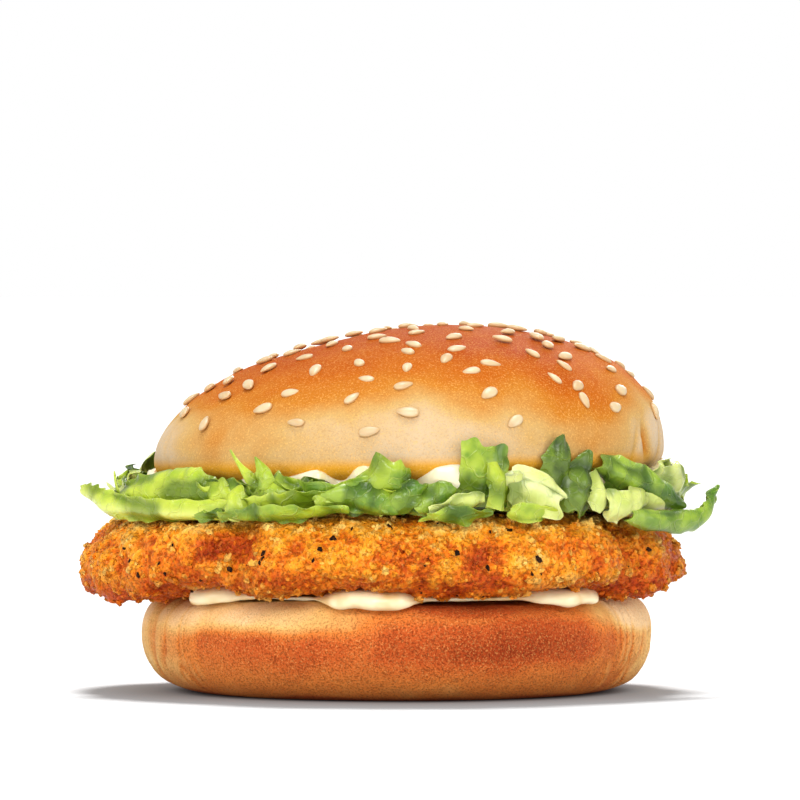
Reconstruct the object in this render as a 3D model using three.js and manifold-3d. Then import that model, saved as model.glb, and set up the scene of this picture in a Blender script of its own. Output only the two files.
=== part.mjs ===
// A chicken burger: a sesame bun cut in two, white sauce on both cut faces, a breaded chicken
// patty that is wider than the bun, and a bed of cut lettuce that spills out all round.
// Millimetres, +Z up, the front faces -Y. The origin is on the table, under the bun's middle.
// Bearings are degrees round the burger from the front, positive to the right.
import * as THREE from "three";
import { ImprovedNoise } from "three/addons/math/ImprovedNoise.js";
import { mergeVertices } from "three/addons/utils/BufferGeometryUtils.js";
import Module from "manifold-3d";

// Driving dimensions
const HEEL_RADIUS = 47.6;
const HEEL_HEIGHT = 18.4;
const HEEL_FOOT_RADIUS = 36;
const HEEL_RIM_RADIUS = 42.5;
const HEEL_RIM_DIP = 0.7;

const CROWN_RADIUS = 48.1;
const CROWN_HEIGHT = 27.7;
const CROWN_BASE = 40.4;
const CROWN_WAIST = 3.6; // height of the widest ring above the cut face
const CROWN_CUT_RADIUS = 44.2;
const CROWN_CENTRE_X = 1.8;
const CROWN_LEAN = 7.5; // how far the top has slumped to the right
const CROWN_TILT_Y = -1.3; // degrees, the right side is lifted by the lettuce
const CROWN_TILT_X = -0.7; // degrees, the front is lifted too

const PATTY_RADIUS_X = 56.6;
const PATTY_RADIUS_Y = 51.0;
const PATTY_CENTRE_X = -2.8;
const PATTY_BOTTOM = 20.2;
const PATTY_TOP = 34.7;
const PATTY_CRAG = 1.5;
const PATTY_EDGE = 9; // width of the rounded edge

const SEED_COUNT = 124;
const SEED_LENGTH = 4.0;
const SEED_WIDTH = 2.4;
const SEED_RISE = 1.0; // above the crust
const SEED_SINK = 0.5; // below the crust
const SEED_REACH = 0.975; // share of the crown's radius that the seeds cover

const LETTUCE_CORE_RADIUS = 50.4;
const LETTUCE_CORE_BOTTOM = 35.5;
const LETTUCE_CORE_TOP = 37.6;
const LEAF_THICKNESS = 0.9;
const NARROW_WIDTH = 6.2;
const BROAD_LEAF = { along: 3, across: 2 };
const NARROW_LEAF = { along: 3, across: 1 };
const PLAIN_LEAF = { ends: [0.5, 0.5], roll: 0, curl: 0.4, ruffle: 0.5, thick: LEAF_THICKNESS };

const SAUCE_RADIUS = 42.5;
const SAUCE_LOBE = 6.6; // how far a squeezed-out lobe reaches past the layer
const GAP = 0.3; // air left between touching layers
const CROWN_SIDES = 48;
const COARSE_SIDES = 36;

const UP = new THREE.Vector3(0, 0, 1);
const noise = new ImprovedNoise();
const radians = THREE.MathUtils.degToRad;
const { lerp, smoothstep } = THREE.MathUtils;

const wasm = await Module();
wasm.setup();

// A point at a bearing, a distance from the burger's axis and a height.
function polar(bearing, radius, height) {
  const angle = radians(bearing);
  return new THREE.Vector3(radius * Math.sin(angle), -radius * Math.cos(angle), height);
}

// The bearing of a point, from -180 to 180 degrees.
function bearingOf(point) {
  return THREE.MathUtils.radToDeg(Math.atan2(point.x, -point.y));
}

// A repeatable draw from 0 to 1 for a whole number.
function draw(index, stream) {
  const value = Math.sin(index * 12.9898 + stream * 78.233) * 43758.5453;
  return value - Math.floor(value);
}

// A smooth hump of height 1 round a bearing, fading to 0 at the given half width in degrees.
function hump(bearing, middle, halfWidth) {
  const away = Math.abs(THREE.MathUtils.euclideanModulo(bearing - middle + 180, 360) - 180);
  return away < halfWidth ? 0.5 + 0.5 * Math.cos((Math.PI * away) / halfWidth) : 0;
}

// Moves every vertex of a geometry by a function of its place.
function reshape(geometry, move) {
  const position = geometry.getAttribute("position");
  const point = new THREE.Vector3();
  for (let i = 0; i < position.count; i++) {
    move(point.fromBufferAttribute(position, i));
    position.setXYZ(i, point.x, point.y, point.z);
  }
  return geometry;
}

// A profile of (radius, height) points, bottom to top, turned round the Z axis and then reshaped.
function turned(profile, sides, move) {
  const points = profile.map(([radius, height]) => new THREE.Vector2(radius, height));
  return reshape(new THREE.LatheGeometry(points, sides).rotateX(Math.PI / 2), move);
}

// A closed geometry as a solid that can be joined and cut.
function solidOf(geometry) {
  const bare = geometry.clone();
  bare.deleteAttribute("normal");
  bare.deleteAttribute("uv");
  const merged = mergeVertices(bare, 1e-3);
  const corners = merged.index.array;
  const kept = [];
  for (let i = 0; i < corners.length; i += 3) {
    const [a, b, c] = corners.slice(i, i + 3);
    if (a !== b && b !== c && c !== a) kept.push(a, b, c);
  }
  const vertProperties = merged.getAttribute("position").array;
  const triVerts = new Uint32Array(kept);
  return new wasm.Manifold(new wasm.Mesh({ numProp: 3, vertProperties, triVerts }));
}

// The largest body of a solid, as a geometry. Scraps that a cut leaves loose are dropped.
function geometryOf(solid) {
  const bodies = solid.decompose().sort((a, b) => b.volume() - a.volume());
  const mesh = bodies[0].getMesh();
  const geometry = new THREE.BufferGeometry();
  geometry.setAttribute("position", new THREE.BufferAttribute(mesh.vertProperties, 3));
  geometry.setIndex(new THREE.BufferAttribute(mesh.triVerts, 1));
  geometry.computeVertexNormals();
  return geometry;
}

// Points along a cubic curve between two profile points, without its first point.
function bend(from, handleA, handleB, to, steps) {
  const corners = [from, handleA, handleB, to].map((corner) => new THREE.Vector2(...corner));
  const points = new THREE.CubicBezierCurve(...corners).getPoints(steps);
  return points.slice(1).map((point) => [point.x, point.y]);
}

// The bun's lower half: a flat foot, a round lower edge, and a cut top with a soft rim.
function heelGeometry() {
  const foot = [HEEL_FOOT_RADIUS, 0];
  const footHandle = [lerp(HEEL_FOOT_RADIUS, HEEL_RADIUS, 0.65), 0];
  const waist = [HEEL_RADIUS, 0.6 * HEEL_HEIGHT];
  const waistHandles = [[HEEL_RADIUS, 0.25 * HEEL_HEIGHT], [HEEL_RADIUS, 0.79 * HEEL_HEIGHT]];
  const rim = [HEEL_RIM_RADIUS, HEEL_HEIGHT];
  const rimHandle = [lerp(HEEL_RIM_RADIUS, HEEL_RADIUS, 0.72), 0.957 * HEEL_HEIGHT];
  const profile = [
    [0, 0],
    [0.9 * HEEL_FOOT_RADIUS, 0],
    foot,
    ...bend(foot, footHandle, waistHandles[0], waist, 5),
    ...bend(waist, waistHandles[1], rimHandle, rim, 4),
    [0.6 * HEEL_RIM_RADIUS, HEEL_HEIGHT],
    [0, HEEL_HEIGHT],
  ];
  const sides = 42;
  return turned(profile, sides, (point) => {
    const bearing = bearingOf(point);
    const aboveFoot = smoothstep(point.z, 0, 0.33 * HEEL_HEIGHT);
    const uneven = 0.006 * Math.sin(radians(3 * bearing + 40)) - 0.01 * hump(bearing, 68, 26);
    const swell = 1 + aboveFoot * uneven;
    point.x *= swell;
    point.y *= swell;
    const share = Math.hypot(point.x, point.y) / HEEL_RADIUS;
    const atRim = smoothstep(point.z, 0.7 * HEEL_HEIGHT, HEEL_HEIGHT) * smoothstep(share, 0.6, 0.9);
    point.z -= atRim * HEEL_RIM_DIP * (0.5 + 0.5 * Math.sin(radians(4 * bearing - 30)));
  });
}

// Where the crown's crust stands at a bearing, from its widest ring (rise 0) to its top (rise 90).
function crust(bearing, rise) {
  const angle = radians(rise);
  const dome = CROWN_HEIGHT - CROWN_WAIST;
  const height = CROWN_WAIST + dome * Math.sin(angle);
  return settleCrown(polar(bearing, CROWN_RADIUS * Math.cos(angle), height));
}

// Takes a point of the upright crown to its place: slumped to the right, tilted and lifted.
function settleCrown(point) {
  const bearing = bearingOf(point);
  const height = Math.max(point.z, 0) / CROWN_HEIGHT;
  const round = 1 + 0.008 * Math.sin(radians(2 * bearing + 70)) + 0.005 * Math.sin(radians(5 * bearing));
  point.x = point.x * round + CROWN_LEAN * height * height;
  point.y *= round;
  point.applyAxisAngle(new THREE.Vector3(0, 1, 0), radians(CROWN_TILT_Y));
  point.applyAxisAngle(new THREE.Vector3(1, 0, 0), radians(CROWN_TILT_X));
  point.x += CROWN_CENTRE_X;
  point.z += CROWN_BASE;
  return point;
}

// The bun's upper half without its seeds, grown outwards by a clearance where another piece is cut to it.
function crownGeometry(grow = 0, sides = CROWN_SIDES) {
  const radius = CROWN_RADIUS + grow;
  const cut = [CROWN_CUT_RADIUS + grow, -grow];
  const cutHandle = [lerp(cut[0], radius, 0.56), -grow];
  const waistHandle = [radius, 0.45 * CROWN_WAIST];
  const profile = [
    [0, -grow],
    [0.6 * CROWN_CUT_RADIUS, -grow],
    cut,
    ...bend(cut, cutHandle, waistHandle, [radius, CROWN_WAIST], 3),
  ];
  const domeSteps = 8;
  const dome = CROWN_HEIGHT - CROWN_WAIST + grow;
  for (let i = 1; i <= domeSteps; i++) {
    const angle = (Math.PI / 2) * (i / domeSteps);
    const ring = i === domeSteps ? 0 : radius * Math.cos(angle);
    profile.push([ring, CROWN_WAIST + dome * Math.sin(angle)]);
  }
  return turned(profile, sides, settleCrown);
}

// One sesame seed, a flat teardrop, at its place on the crust.
function seedGeometry(index) {
  const goldenTurn = 137.508;
  const share = (index + 0.5) / SEED_COUNT;
  const reach = SEED_REACH * Math.sqrt(share) + 0.03 * (draw(index, 1) - 0.5);
  const rise = THREE.MathUtils.radToDeg(Math.acos(Math.min(reach, SEED_REACH)));
  const bearing = index * goldenTurn + 16 * (draw(index, 2) - 0.5);
  const place = crust(bearing, rise);
  const along = crust(bearing + 0.5, rise).sub(place).normalize();
  const upward = crust(bearing, rise + 0.5).sub(place).normalize();
  const outward = along.clone().cross(upward).normalize();
  const spin = 2 * Math.PI * draw(index, 3);
  const long = along.clone().multiplyScalar(Math.cos(spin)).addScaledVector(upward, Math.sin(spin));
  const wide = long.clone().cross(outward);
  const size = 0.86 + 0.26 * draw(index, 4);
  const frame = new THREE.Matrix4().makeBasis(wide, long, outward).setPosition(place);
  return reshape(teardropGeometry(), (point) => point.multiplyScalar(size).applyMatrix4(frame));
}

// A seed lying along Y: a six-sided outline sunk in the crust, pointed at one end, under a short ridge.
function teardropGeometry() {
  const outline = [[0, 0.5], [-0.32, 0.2], [-0.5, -0.18], [0, -0.5], [0.5, -0.18], [0.32, 0.2]];
  const ridge = [[0, 0.14], [0, -0.22]];
  const sunk = outline.map(([x, y]) => new THREE.Vector3(x * SEED_WIDTH, y * SEED_LENGTH, -SEED_SINK));
  const top = ridge.map(([x, y]) => new THREE.Vector3(x * SEED_WIDTH, y * SEED_LENGTH, SEED_RISE));
  const sides = [0, 1, 6, 1, 2, 7, 1, 7, 6, 2, 3, 7, 3, 4, 7, 4, 5, 6, 4, 6, 7, 5, 0, 6];
  const underside = [0, 2, 1, 0, 5, 2, 5, 4, 2, 4, 3, 2];
  return new THREE.BufferGeometry().setFromPoints([...sunk, ...top]).setIndex([...sides, ...underside]);
}

// The crown with its seeds fused to the crust.
function seededCrownGeometry() {
  const pieces = [solidOf(crownGeometry())];
  for (let i = 0; i < SEED_COUNT; i++) pieces.push(solidOf(seedGeometry(i)));
  return geometryOf(wasm.Manifold.union(pieces));
}

// Lobes of sauce: bearing, half width in degrees and size. Three show in front, the rest are behind.
const LOWER_LOBES = [
  [-49, 15, 0.92],
  [-7, 20, 1.0],
  [43, 19, 1.0],
  [104, 17, 0.9],
  [152, 14, 0.8],
  [-158, 18, 0.95],
  [-104, 13, 0.8],
];
const UPPER_LOBES = [
  [-44, 14, 0.6],
  [-22, 11, 0.68],
  [-9, 8, 0.7],
  [6, 10, 0.74],
  [50, 12, 0.62],
  [84, 12, 0.66],
  [128, 16, 0.66],
  [176, 18, 0.7],
  [-132, 16, 0.66],
  [-92, 14, 0.6],
];

// How far the sauce is squeezed out at a bearing, from 0 to 1.
function squeezed(lobes, bearing) {
  const sizes = lobes.map(([middle, half, size]) => size * Math.sqrt(hump(bearing, middle, half)));
  return Math.max(...sizes);
}

// Smooth noise from -1 to 1 at a point, with lumps of about the given size.
function roughness(point, size) {
  return noise.noise(point.x / size, point.y / size, point.z / (0.9 * size));
}

// The patty's reach from its own middle: an oval with one broad lobe in front, set off by a notch
// on each side, and smaller notches round the back.
function pattyReach(bearing) {
  const angle = radians(bearing);
  const oval = 1 / Math.hypot(Math.sin(angle) / PATTY_RADIUS_X, Math.cos(angle) / PATTY_RADIUS_Y);
  const lobe = 2.4 * smoothstep(bearing, -34, -25) * (1 - smoothstep(bearing, 50, 60));
  const notches = 3.0 * hump(bearing, -33, 9) + 3.2 * hump(bearing, 59, 9);
  const backNotches = 3.0 * hump(bearing, 132, 12) + 2.6 * hump(bearing, -128, 11);
  return oval + lobe - notches - backNotches;
}

// How far the patty's top hangs at a share of its reach: a little in front, more at both ends.
function pattyDrop(share, bearing) {
  const ends = Math.abs(Math.sin(radians(bearing))) ** 3;
  return share ** 4 * (0.6 + 3.2 * ends);
}

// The patty's underside before its crust: it sits on the heel's rim, and arches over the squeezed sauce.
function pattyBottom(share, bearing) {
  const sag = lerp(1.2, -0.6, squeezed(LOWER_LOBES, bearing));
  return PATTY_BOTTOM - sag * smoothstep(share, 0.62, 0.8);
}

// The breaded patty: thick in the middle, drooping at both ends, with a craggy crust.
function pattyGeometry() {
  const low = [0.84, 0];
  const side = [1, 0.47];
  const high = [0.8, 1];
  const profile = [
    [0, 0],
    [0.62, 0],
    low,
    ...bend(low, [0.95, 0], [1, 0.2], side, 4),
    ...bend(side, [1, 0.78], [0.92, 1], high, 4),
    [0.5, 1],
    [0, 1],
  ];
  const sides = 88;
  return turned(profile, sides, (point) => {
    const share = Math.hypot(point.x, point.y);
    const level = point.z;
    const bearing = bearingOf(point);
    const reach = pattyReach(bearing);
    const drop = pattyDrop(share, bearing);
    const leftHang = 3.6 * hump(bearing, -72, 36);
    const bottom = pattyBottom(share, bearing) - (leftHang + 0.5 * drop) * smoothstep(share, 0.89, 1);
    const top = PATTY_TOP - drop;
    point.copy(polar(bearing, share * reach, lerp(bottom, top, level)));
    const core = polar(bearing, Math.min(share * reach, reach - PATTY_EDGE), (bottom + top) / 2);
    const outward = point.clone().sub(core).normalize();
    const rough = Math.max(smoothstep(share, 0.9, 0.98), level * smoothstep(share, 0.7, 0.9));
    const crag = roughness(point, 7) + 0.9 * roughness(point, 3.7);
    point.addScaledVector(outward, PATTY_CRAG * rough * crag);
    point.x += PATTY_CENTRE_X;
  });
}

// A layer of sauce with round lobes squeezed out, between two heights that depend on the distance
// from the middle and the bearing.
function sauceGeometry(lobes, lowAt, highAt) {
  const profile = [
    [0, 0],
    [0.84, 0],
    [0.92, 0],
    ...bend([0.92, 0], [0.98, 0], [1, 0.2], [1, 0.45], 2),
    ...bend([1, 0.45], [1, 0.8], [0.97, 1], [0.9, 1], 2),
    [0.5, 1],
    [0, 1],
  ];
  const sides = 46;
  return turned(profile, sides, (point) => {
    const bearing = bearingOf(point);
    const squeeze = squeezed(lobes, bearing);
    const reach = Math.hypot(point.x, point.y) * (SAUCE_RADIUS + SAUCE_LOBE * squeeze);
    point.copy(polar(bearing, reach, lerp(lowAt(reach), highAt(reach, bearing), point.z)));
  });
}

// The sauce on the heel, which hangs over the heel's rim where it is squeezed out.
function lowerSauceGeometry() {
  const overhang = 1.7;
  const low = (reach) => HEEL_HEIGHT + GAP - overhang * smoothstep(reach, HEEL_RIM_RADIUS + 1.6, HEEL_RADIUS);
  const high = (reach, bearing) => pattyBottom(reach / PATTY_RADIUS_Y, bearing) - 2 * GAP;
  return sauceGeometry(LOWER_LOBES, low, high);
}

// The sauce under the crown, thick enough to be cut to the crown's tilted face and curled rim.
function upperSauceGeometry(grow = 0) {
  const low = () => LETTUCE_CORE_TOP + GAP - grow;
  const high = () => CROWN_BASE + 0.9 * CROWN_WAIST + grow;
  const layer = sauceGeometry(UPPER_LOBES, low, high);
  const swell = 1 + grow / SAUCE_RADIUS;
  return layer.scale(swell, swell, 1).translate(CROWN_CENTRE_X, 0, 0);
}

// A cut leaf or shred: a thin strip along a curve. The spine is a list of (bearing, radius, height)
// points. With no roll its face looks outwards, and a positive roll leans its upper edge out.
// Ends are the widths of its two ends as shares of the full width, and curl bends it across.
function leafGeometry(leaf) {
  const { spine, width, ends, roll, curl, ruffle, thick } = { ...PLAIN_LEAF, ...leaf };
  const { along, across } = width < NARROW_WIDTH ? NARROW_LEAF : BROAD_LEAF;
  const curve = new THREE.CatmullRomCurve3(spine.map((place) => polar(...place)));
  const faces = [[], []];
  for (let i = 0; i <= along; i++) {
    const u = i / along;
    const middle = curve.getPoint(u);
    const tangent = curve.getTangent(u);
    const outward = new THREE.Vector3(middle.x, middle.y, 0).normalize().addScaledVector(UP, 0.15);
    outward.addScaledVector(tangent, -outward.dot(tangent)).normalize();
    const upper = outward.clone().cross(tangent);
    const wide = upper.clone().multiplyScalar(Math.cos(radians(roll)));
    wide.addScaledVector(outward, Math.sin(radians(roll)));
    const facing = tangent.clone().cross(wide);
    const end = lerp(ends[0], ends[1], u);
    const half = (width / 2) * (end + (1 - end) * (4 * u * (1 - u)) ** 0.7);
    for (let j = 0; j <= across; j++) {
      const v = -1 + (2 * j) / across;
      const arc = curl * v;
      const radius = half / curl;
      const wave = ruffle * v * v * Math.sin(9 * u + 2.2 * v + width);
      const point = middle.clone();
      point.addScaledVector(wide, radius * Math.sin(arc));
      point.addScaledVector(facing, radius * (Math.cos(arc) - 1) + wave);
      const normal = facing.clone().multiplyScalar(Math.cos(arc)).addScaledVector(wide, Math.sin(arc));
      faces[0].push(point.clone().addScaledVector(normal, thick / 2));
      faces[1].push(point.clone().addScaledVector(normal, -thick / 2));
    }
  }
  return skinBetween(faces[0], faces[1], along, across);
}

// A closed geometry between two grids of points, both split into triangles alike.
function skinBetween(front, back, along, across) {
  const row = across + 1;
  const shift = front.length;
  const triangles = [];
  for (let i = 0; i < along; i++) {
    for (let j = 0; j < across; j++) {
      const a = i * row + j;
      const [b, c, d] = [a + row, a + row + 1, a + 1];
      triangles.push(a, b, c, a, c, d);
      triangles.push(shift + a, shift + c, shift + b, shift + a, shift + d, shift + c);
    }
  }
  const rim = [];
  for (let i = 0; i < along; i++) rim.push(i * row);
  for (let j = 0; j < across; j++) rim.push(along * row + j);
  for (let i = along; i > 0; i--) rim.push(i * row + across);
  for (let j = across; j > 0; j--) rim.push(j);
  rim.forEach((a, k) => {
    const b = rim[(k + 1) % rim.length];
    triangles.push(a, shift + b, b, a, shift + a, shift + b);
  });
  const geometry = new THREE.BufferGeometry().setFromPoints([...front, ...back]);
  return geometry.setIndex(triangles);
}

// The leaves that show in front, left to right.
const FRONT_LEAVES = [
  {
    spine: [[-82, 60, 38.4], [-73, 57.5, 36.2], [-59, 54, 35], [-36, 50.5, 35.4]],
    width: 6, ends: [0.9, 0.7], roll: 35, curl: 0.6, thick: 1.3,
  },
  {
    spine: [[-71, 56, 36.4], [-60, 53.4, 37.8], [-48, 52, 38.4], [-38, 50.6, 37.4]],
    width: 10, ends: [0.25, 0.4], roll: 14, curl: 0.9,
  },
  {
    spine: [[-72, 56.2, 35.6], [-69, 56, 38], [-67.5, 56.4, 41]],
    width: 3.4, ends: [1, 0.1], roll: 0, ruffle: 0.1,
  },
  {
    spine: [[-36, 51.5, 34.6], [-35.5, 51.6, 37], [-35, 50.8, 40]],
    width: 5.6, ends: [0.7, 0.6], curl: 0.9,
  },
  {
    spine: [[-33, 50.4, 38], [-24, 50.8, 40.4], [-15, 50.4, 38.6]],
    width: 8, ends: [0.5, 0.3], roll: 8, curl: 0.5, ruffle: 0.7,
  },
  {
    spine: [[-31, 50.8, 39.5], [-33.5, 51.2, 42.6], [-36.6, 51, 45.8]],
    width: 2.6, ends: [1, 0.1], ruffle: 0.1,
  },
  {
    spine: [[-31, 50.8, 39.5], [-30.4, 51.3, 42], [-30.6, 51.2, 44.6]],
    width: 3.4, ends: [1, 0.1], ruffle: 0.1,
  },
  {
    spine: [[-37, 50.5, 36.4], [-24, 51.6, 36.8], [-12, 50.6, 38.4]],
    width: 5.4, ends: [0.5, 0.4], roll: 48,
  },
  {
    spine: [[-40, 52.5, 34.6], [-25, 53, 35], [-11, 51.4, 36.2]],
    width: 5, ends: [0.4, 0.4], roll: 58, curl: 0.3,
  },
  {
    spine: [[-15, 51, 38.4], [-7, 52, 37.4], [0, 51.6, 36.2]],
    width: 7, ends: [0.6, 0.5], roll: 24, curl: 1.0,
  },
  {
    spine: [[-9, 50.2, 39.6], [-2, 51, 42], [3, 50.6, 41.6]],
    width: 8, ends: [0.5, 0.4], roll: 14, curl: 0.6,
  },
  {
    spine: [[-2.5, 51.8, 35.8], [1.5, 52.2, 38], [5, 50.8, 41]],
    width: 4.8, ends: [0.5, 0.6], roll: 10, ruffle: 0.9,
  },
  {
    spine: [[3.5, 51, 36], [7.5, 51.4, 38.6], [11.4, 50.4, 41]],
    width: 6.4, ends: [0.5, 0.4], curl: 0.8, ruffle: 0.8,
  },
  {
    spine: [[6.6, 52.4, 36], [12.5, 52.8, 37], [18, 52, 38]],
    width: 4, ends: [0.3, 0.6], roll: 40, curl: 0.3,
  },
  {
    spine: [[5, 52.6, 35.4], [12, 53.4, 35.2], [18.5, 52.6, 35.6]],
    width: 4.4, ends: [0.4, 0.4], roll: 66,
  },
  {
    spine: [[16.6, 49.6, 36.8], [18, 51, 42], [18.6, 50.8, 48.2]],
    width: 10, ends: [0.9, 0.9], curl: 0.4, ruffle: 0.3,
  },
  {
    spine: [[20, 52, 36], [20.4, 53, 40.4], [19.4, 52.2, 44.6]],
    width: 3.6, ends: [1, 0.7], curl: 0.7, thick: 1.2,
  },
  {
    spine: [[23, 50.6, 41.2], [29, 51.6, 39.4], [35, 52, 36.4]],
    width: 9, ends: [0.6, 0.5], roll: 16, curl: 0.6,
  },
  {
    spine: [[22, 50.6, 43], [28, 51, 42.6], [33.4, 51, 41]],
    width: 3.6, ends: [0.6, 0.3], roll: 20,
  },
  {
    spine: [[35, 50.2, 38], [35.6, 51.2, 43.4], [36.6, 51.4, 50]],
    width: 8, ends: [0.9, 0.08], curl: 0.5, ruffle: 0.3,
  },
  {
    spine: [[36.6, 51.2, 35], [39.6, 52.2, 40.2], [43.8, 51.4, 45.6]],
    width: 10, ends: [0.6, 0.5], curl: 0.7,
  },
  {
    spine: [[45, 51.8, 34.8], [46.6, 52.2, 38.4], [45.6, 51, 42]],
    width: 4, ends: [0.6, 0.5], curl: 0.8, ruffle: 0.8,
  },
  {
    spine: [[44.6, 52.6, 36.4], [52, 53.4, 36.2], [62, 53, 37.6]],
    width: 8, ends: [0.4, 0.4], roll: 24, curl: 1.0,
  },
  {
    spine: [[47.6, 50.8, 43.6], [56, 53.4, 40.4], [69.4, 57.4, 35.6]],
    width: 9, ends: [0.3, 0.35], roll: 30, curl: 0.9,
  },
  {
    spine: [[53, 53, 34.6], [62, 56.6, 33.6], [73, 59.6, 34], [78.4, 61.4, 38.6]],
    width: 7.4, ends: [0.5, 0.08], roll: 20, curl: 1.3,
  },
  {
    spine: [[67, 48.6, 36], [71, 51.6, 39.4], [75, 52, 41.6]],
    width: 7, ends: [0.6, 0.5], roll: 10,
  },
];

// The leaves round the sides and back, by rule: a flat one and a standing one by turns.
function backLeaves() {
  const leaves = [];
  const count = 8;
  const first = 92;
  const step = (360 - 2 * first) / (count - 1);
  for (let i = 0; i < count; i++) {
    const bearing = first + i * step + 5 * (draw(i, 11) - 0.5);
    const reach = 50.6 + 1.2 * draw(i, 12);
    const sweep = 13 + 4 * draw(i, 13);
    const spill = 3 * draw(i, 14);
    leaves.push({
      spine: [
        [bearing - sweep, reach, 36.2],
        [bearing, reach + spill, 35.6],
        [bearing + sweep, reach + 0.6, 36.6],
      ],
      width: 6 + 3 * draw(i, 15),
      ends: [0.4, 0.4],
      roll: 40 + 25 * draw(i, 16),
    });
    const lean = 4 * (draw(i, 17) - 0.5);
    leaves.push({
      spine: [
        [bearing + 11, reach - 2.4, 36.2],
        [bearing + 11 + lean, reach + 0.2, 39.6],
        [bearing + 11 + 2 * lean, reach, 42 + 5 * draw(i, 18)],
      ],
      width: 8 + 4 * draw(i, 19),
      ends: [0.7, 0.15 + 0.6 * draw(i, 20)],
      curl: 0.5 + 0.4 * draw(i, 21),
    });
  }
  return leaves;
}

// The lettuce under the crown that the leaves grow out of.
function lettuceCoreGeometry() {
  const edge = 1.2;
  const profile = [
    [0, LETTUCE_CORE_BOTTOM],
    [0.75 * LETTUCE_CORE_RADIUS, LETTUCE_CORE_BOTTOM],
    [LETTUCE_CORE_RADIUS - edge, LETTUCE_CORE_BOTTOM],
    [LETTUCE_CORE_RADIUS, (LETTUCE_CORE_BOTTOM + LETTUCE_CORE_TOP) / 2],
    [LETTUCE_CORE_RADIUS - edge, LETTUCE_CORE_TOP],
    [0.8 * LETTUCE_CORE_RADIUS, LETTUCE_CORE_TOP],
    [0, LETTUCE_CORE_TOP],
  ];
  const sides = 28;
  return turned(profile, sides, (point) => {
    const bearing = bearingOf(point);
    const share = Math.hypot(point.x, point.y) / PATTY_RADIUS_X;
    const wave = 1 + 0.02 * Math.sin(radians(7 * bearing)) + 0.012 * Math.sin(radians(12 * bearing));
    point.x *= wave;
    point.y *= wave;
    point.z -= pattyDrop(share, bearing);
  });
}

// The lettuce: its bed and leaves fused, and cut clear of the patty, the crown and the sauce.
function lettuceGeometry(patty) {
  const leaves = [...FRONT_LEAVES, ...backLeaves()].map((leaf) => solidOf(leafGeometry(leaf)));
  const heap = wasm.Manifold.union([solidOf(lettuceCoreGeometry()), ...leaves])
    .subtract(solidOf(patty).translate([0, 0, GAP]))
    .subtract(solidOf(crownGeometry(2 * GAP, COARSE_SIDES)))
    .subtract(solidOf(upperSauceGeometry(GAP)));
  return geometryOf(heap);
}

// The layers, from the table up.
function layers() {
  const patty = pattyGeometry();
  const pattyClear = solidOf(patty).translate([0, 0, -GAP]);
  const crownClear = solidOf(crownGeometry(2 * GAP, COARSE_SIDES));
  return {
    heel: heelGeometry(),
    lower_sauce: geometryOf(solidOf(lowerSauceGeometry()).subtract(pattyClear)),
    patty,
    lettuce: lettuceGeometry(patty),
    upper_sauce: geometryOf(solidOf(upperSauceGeometry()).subtract(crownClear)),
    crown: seededCrownGeometry(),
  };
}

const MATERIALS = {
  heel: { color: 0xc67a3c, roughness: 0.7 },
  lower_sauce: { color: 0xf3ecd2, roughness: 0.25 },
  patty: { color: 0xd98a2e, roughness: 0.65 },
  lettuce: { color: 0x7fb52f, roughness: 0.4 },
  upper_sauce: { color: 0xf6f1dc, roughness: 0.25 },
  crown: { color: 0xd98b45, roughness: 0.5 },
};

const burger = new THREE.Group();
for (const [name, geometry] of Object.entries(layers())) {
  const material = new THREE.MeshStandardMaterial({ ...MATERIALS[name], metalness: 0 });
  const mesh = new THREE.Mesh(geometry, material);
  mesh.name = name;
  burger.add(mesh);
}

export default burger;
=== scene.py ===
"""The looks of a chicken burger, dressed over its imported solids.

Sizes are millimetres here and metres in the scene. +Z is up and the front faces -Y. Bearings are
degrees round the burger from the front, positive to the right.
"""

import itertools
import logging
import math
from dataclasses import dataclass, field, replace
from enum import Enum
from functools import cache

import bmesh
import bpy
import numpy as np
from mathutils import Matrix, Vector
from mathutils.bvhtree import BVHTree


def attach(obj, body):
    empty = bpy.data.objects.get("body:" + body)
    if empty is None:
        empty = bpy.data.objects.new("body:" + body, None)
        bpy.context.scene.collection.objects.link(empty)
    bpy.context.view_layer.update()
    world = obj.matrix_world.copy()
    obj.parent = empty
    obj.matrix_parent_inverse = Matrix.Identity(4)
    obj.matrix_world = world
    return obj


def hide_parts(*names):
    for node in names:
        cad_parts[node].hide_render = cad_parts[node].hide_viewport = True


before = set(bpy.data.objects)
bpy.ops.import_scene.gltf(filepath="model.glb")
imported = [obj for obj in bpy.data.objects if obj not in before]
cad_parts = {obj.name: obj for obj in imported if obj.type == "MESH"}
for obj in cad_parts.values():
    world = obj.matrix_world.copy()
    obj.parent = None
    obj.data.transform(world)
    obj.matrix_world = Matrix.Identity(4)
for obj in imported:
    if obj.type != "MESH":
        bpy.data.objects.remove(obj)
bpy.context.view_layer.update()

LOG = logging.getLogger("burger")
MM = 0.001
GOLDEN_TURN = 137.508

Colour = tuple[float, float, float]
Faces = list[tuple[int, ...]]


def linear(red: float, green: float, blue: float) -> tuple[float, float, float, float]:
    """A display colour from 0 to 255 as linear light with full alpha."""
    shares = [channel / 255 for channel in (red, green, blue)]
    return (*[s / 12.92 if s <= 0.04045 else ((s + 0.055) / 1.055) ** 2.4 for s in shares], 1.0)


def polar(bearing: np.ndarray, radius: np.ndarray, height: np.ndarray) -> np.ndarray:
    """Points at bearings, distances from the burger's axis and heights."""
    angle = np.radians(bearing)
    return np.stack(np.broadcast_arrays(radius * np.sin(angle), -radius * np.cos(angle), height), axis=-1)


def bearings(points: np.ndarray) -> np.ndarray:
    """The bearing of each point."""
    return np.degrees(np.arctan2(points[..., 0], -points[..., 1]))


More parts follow.
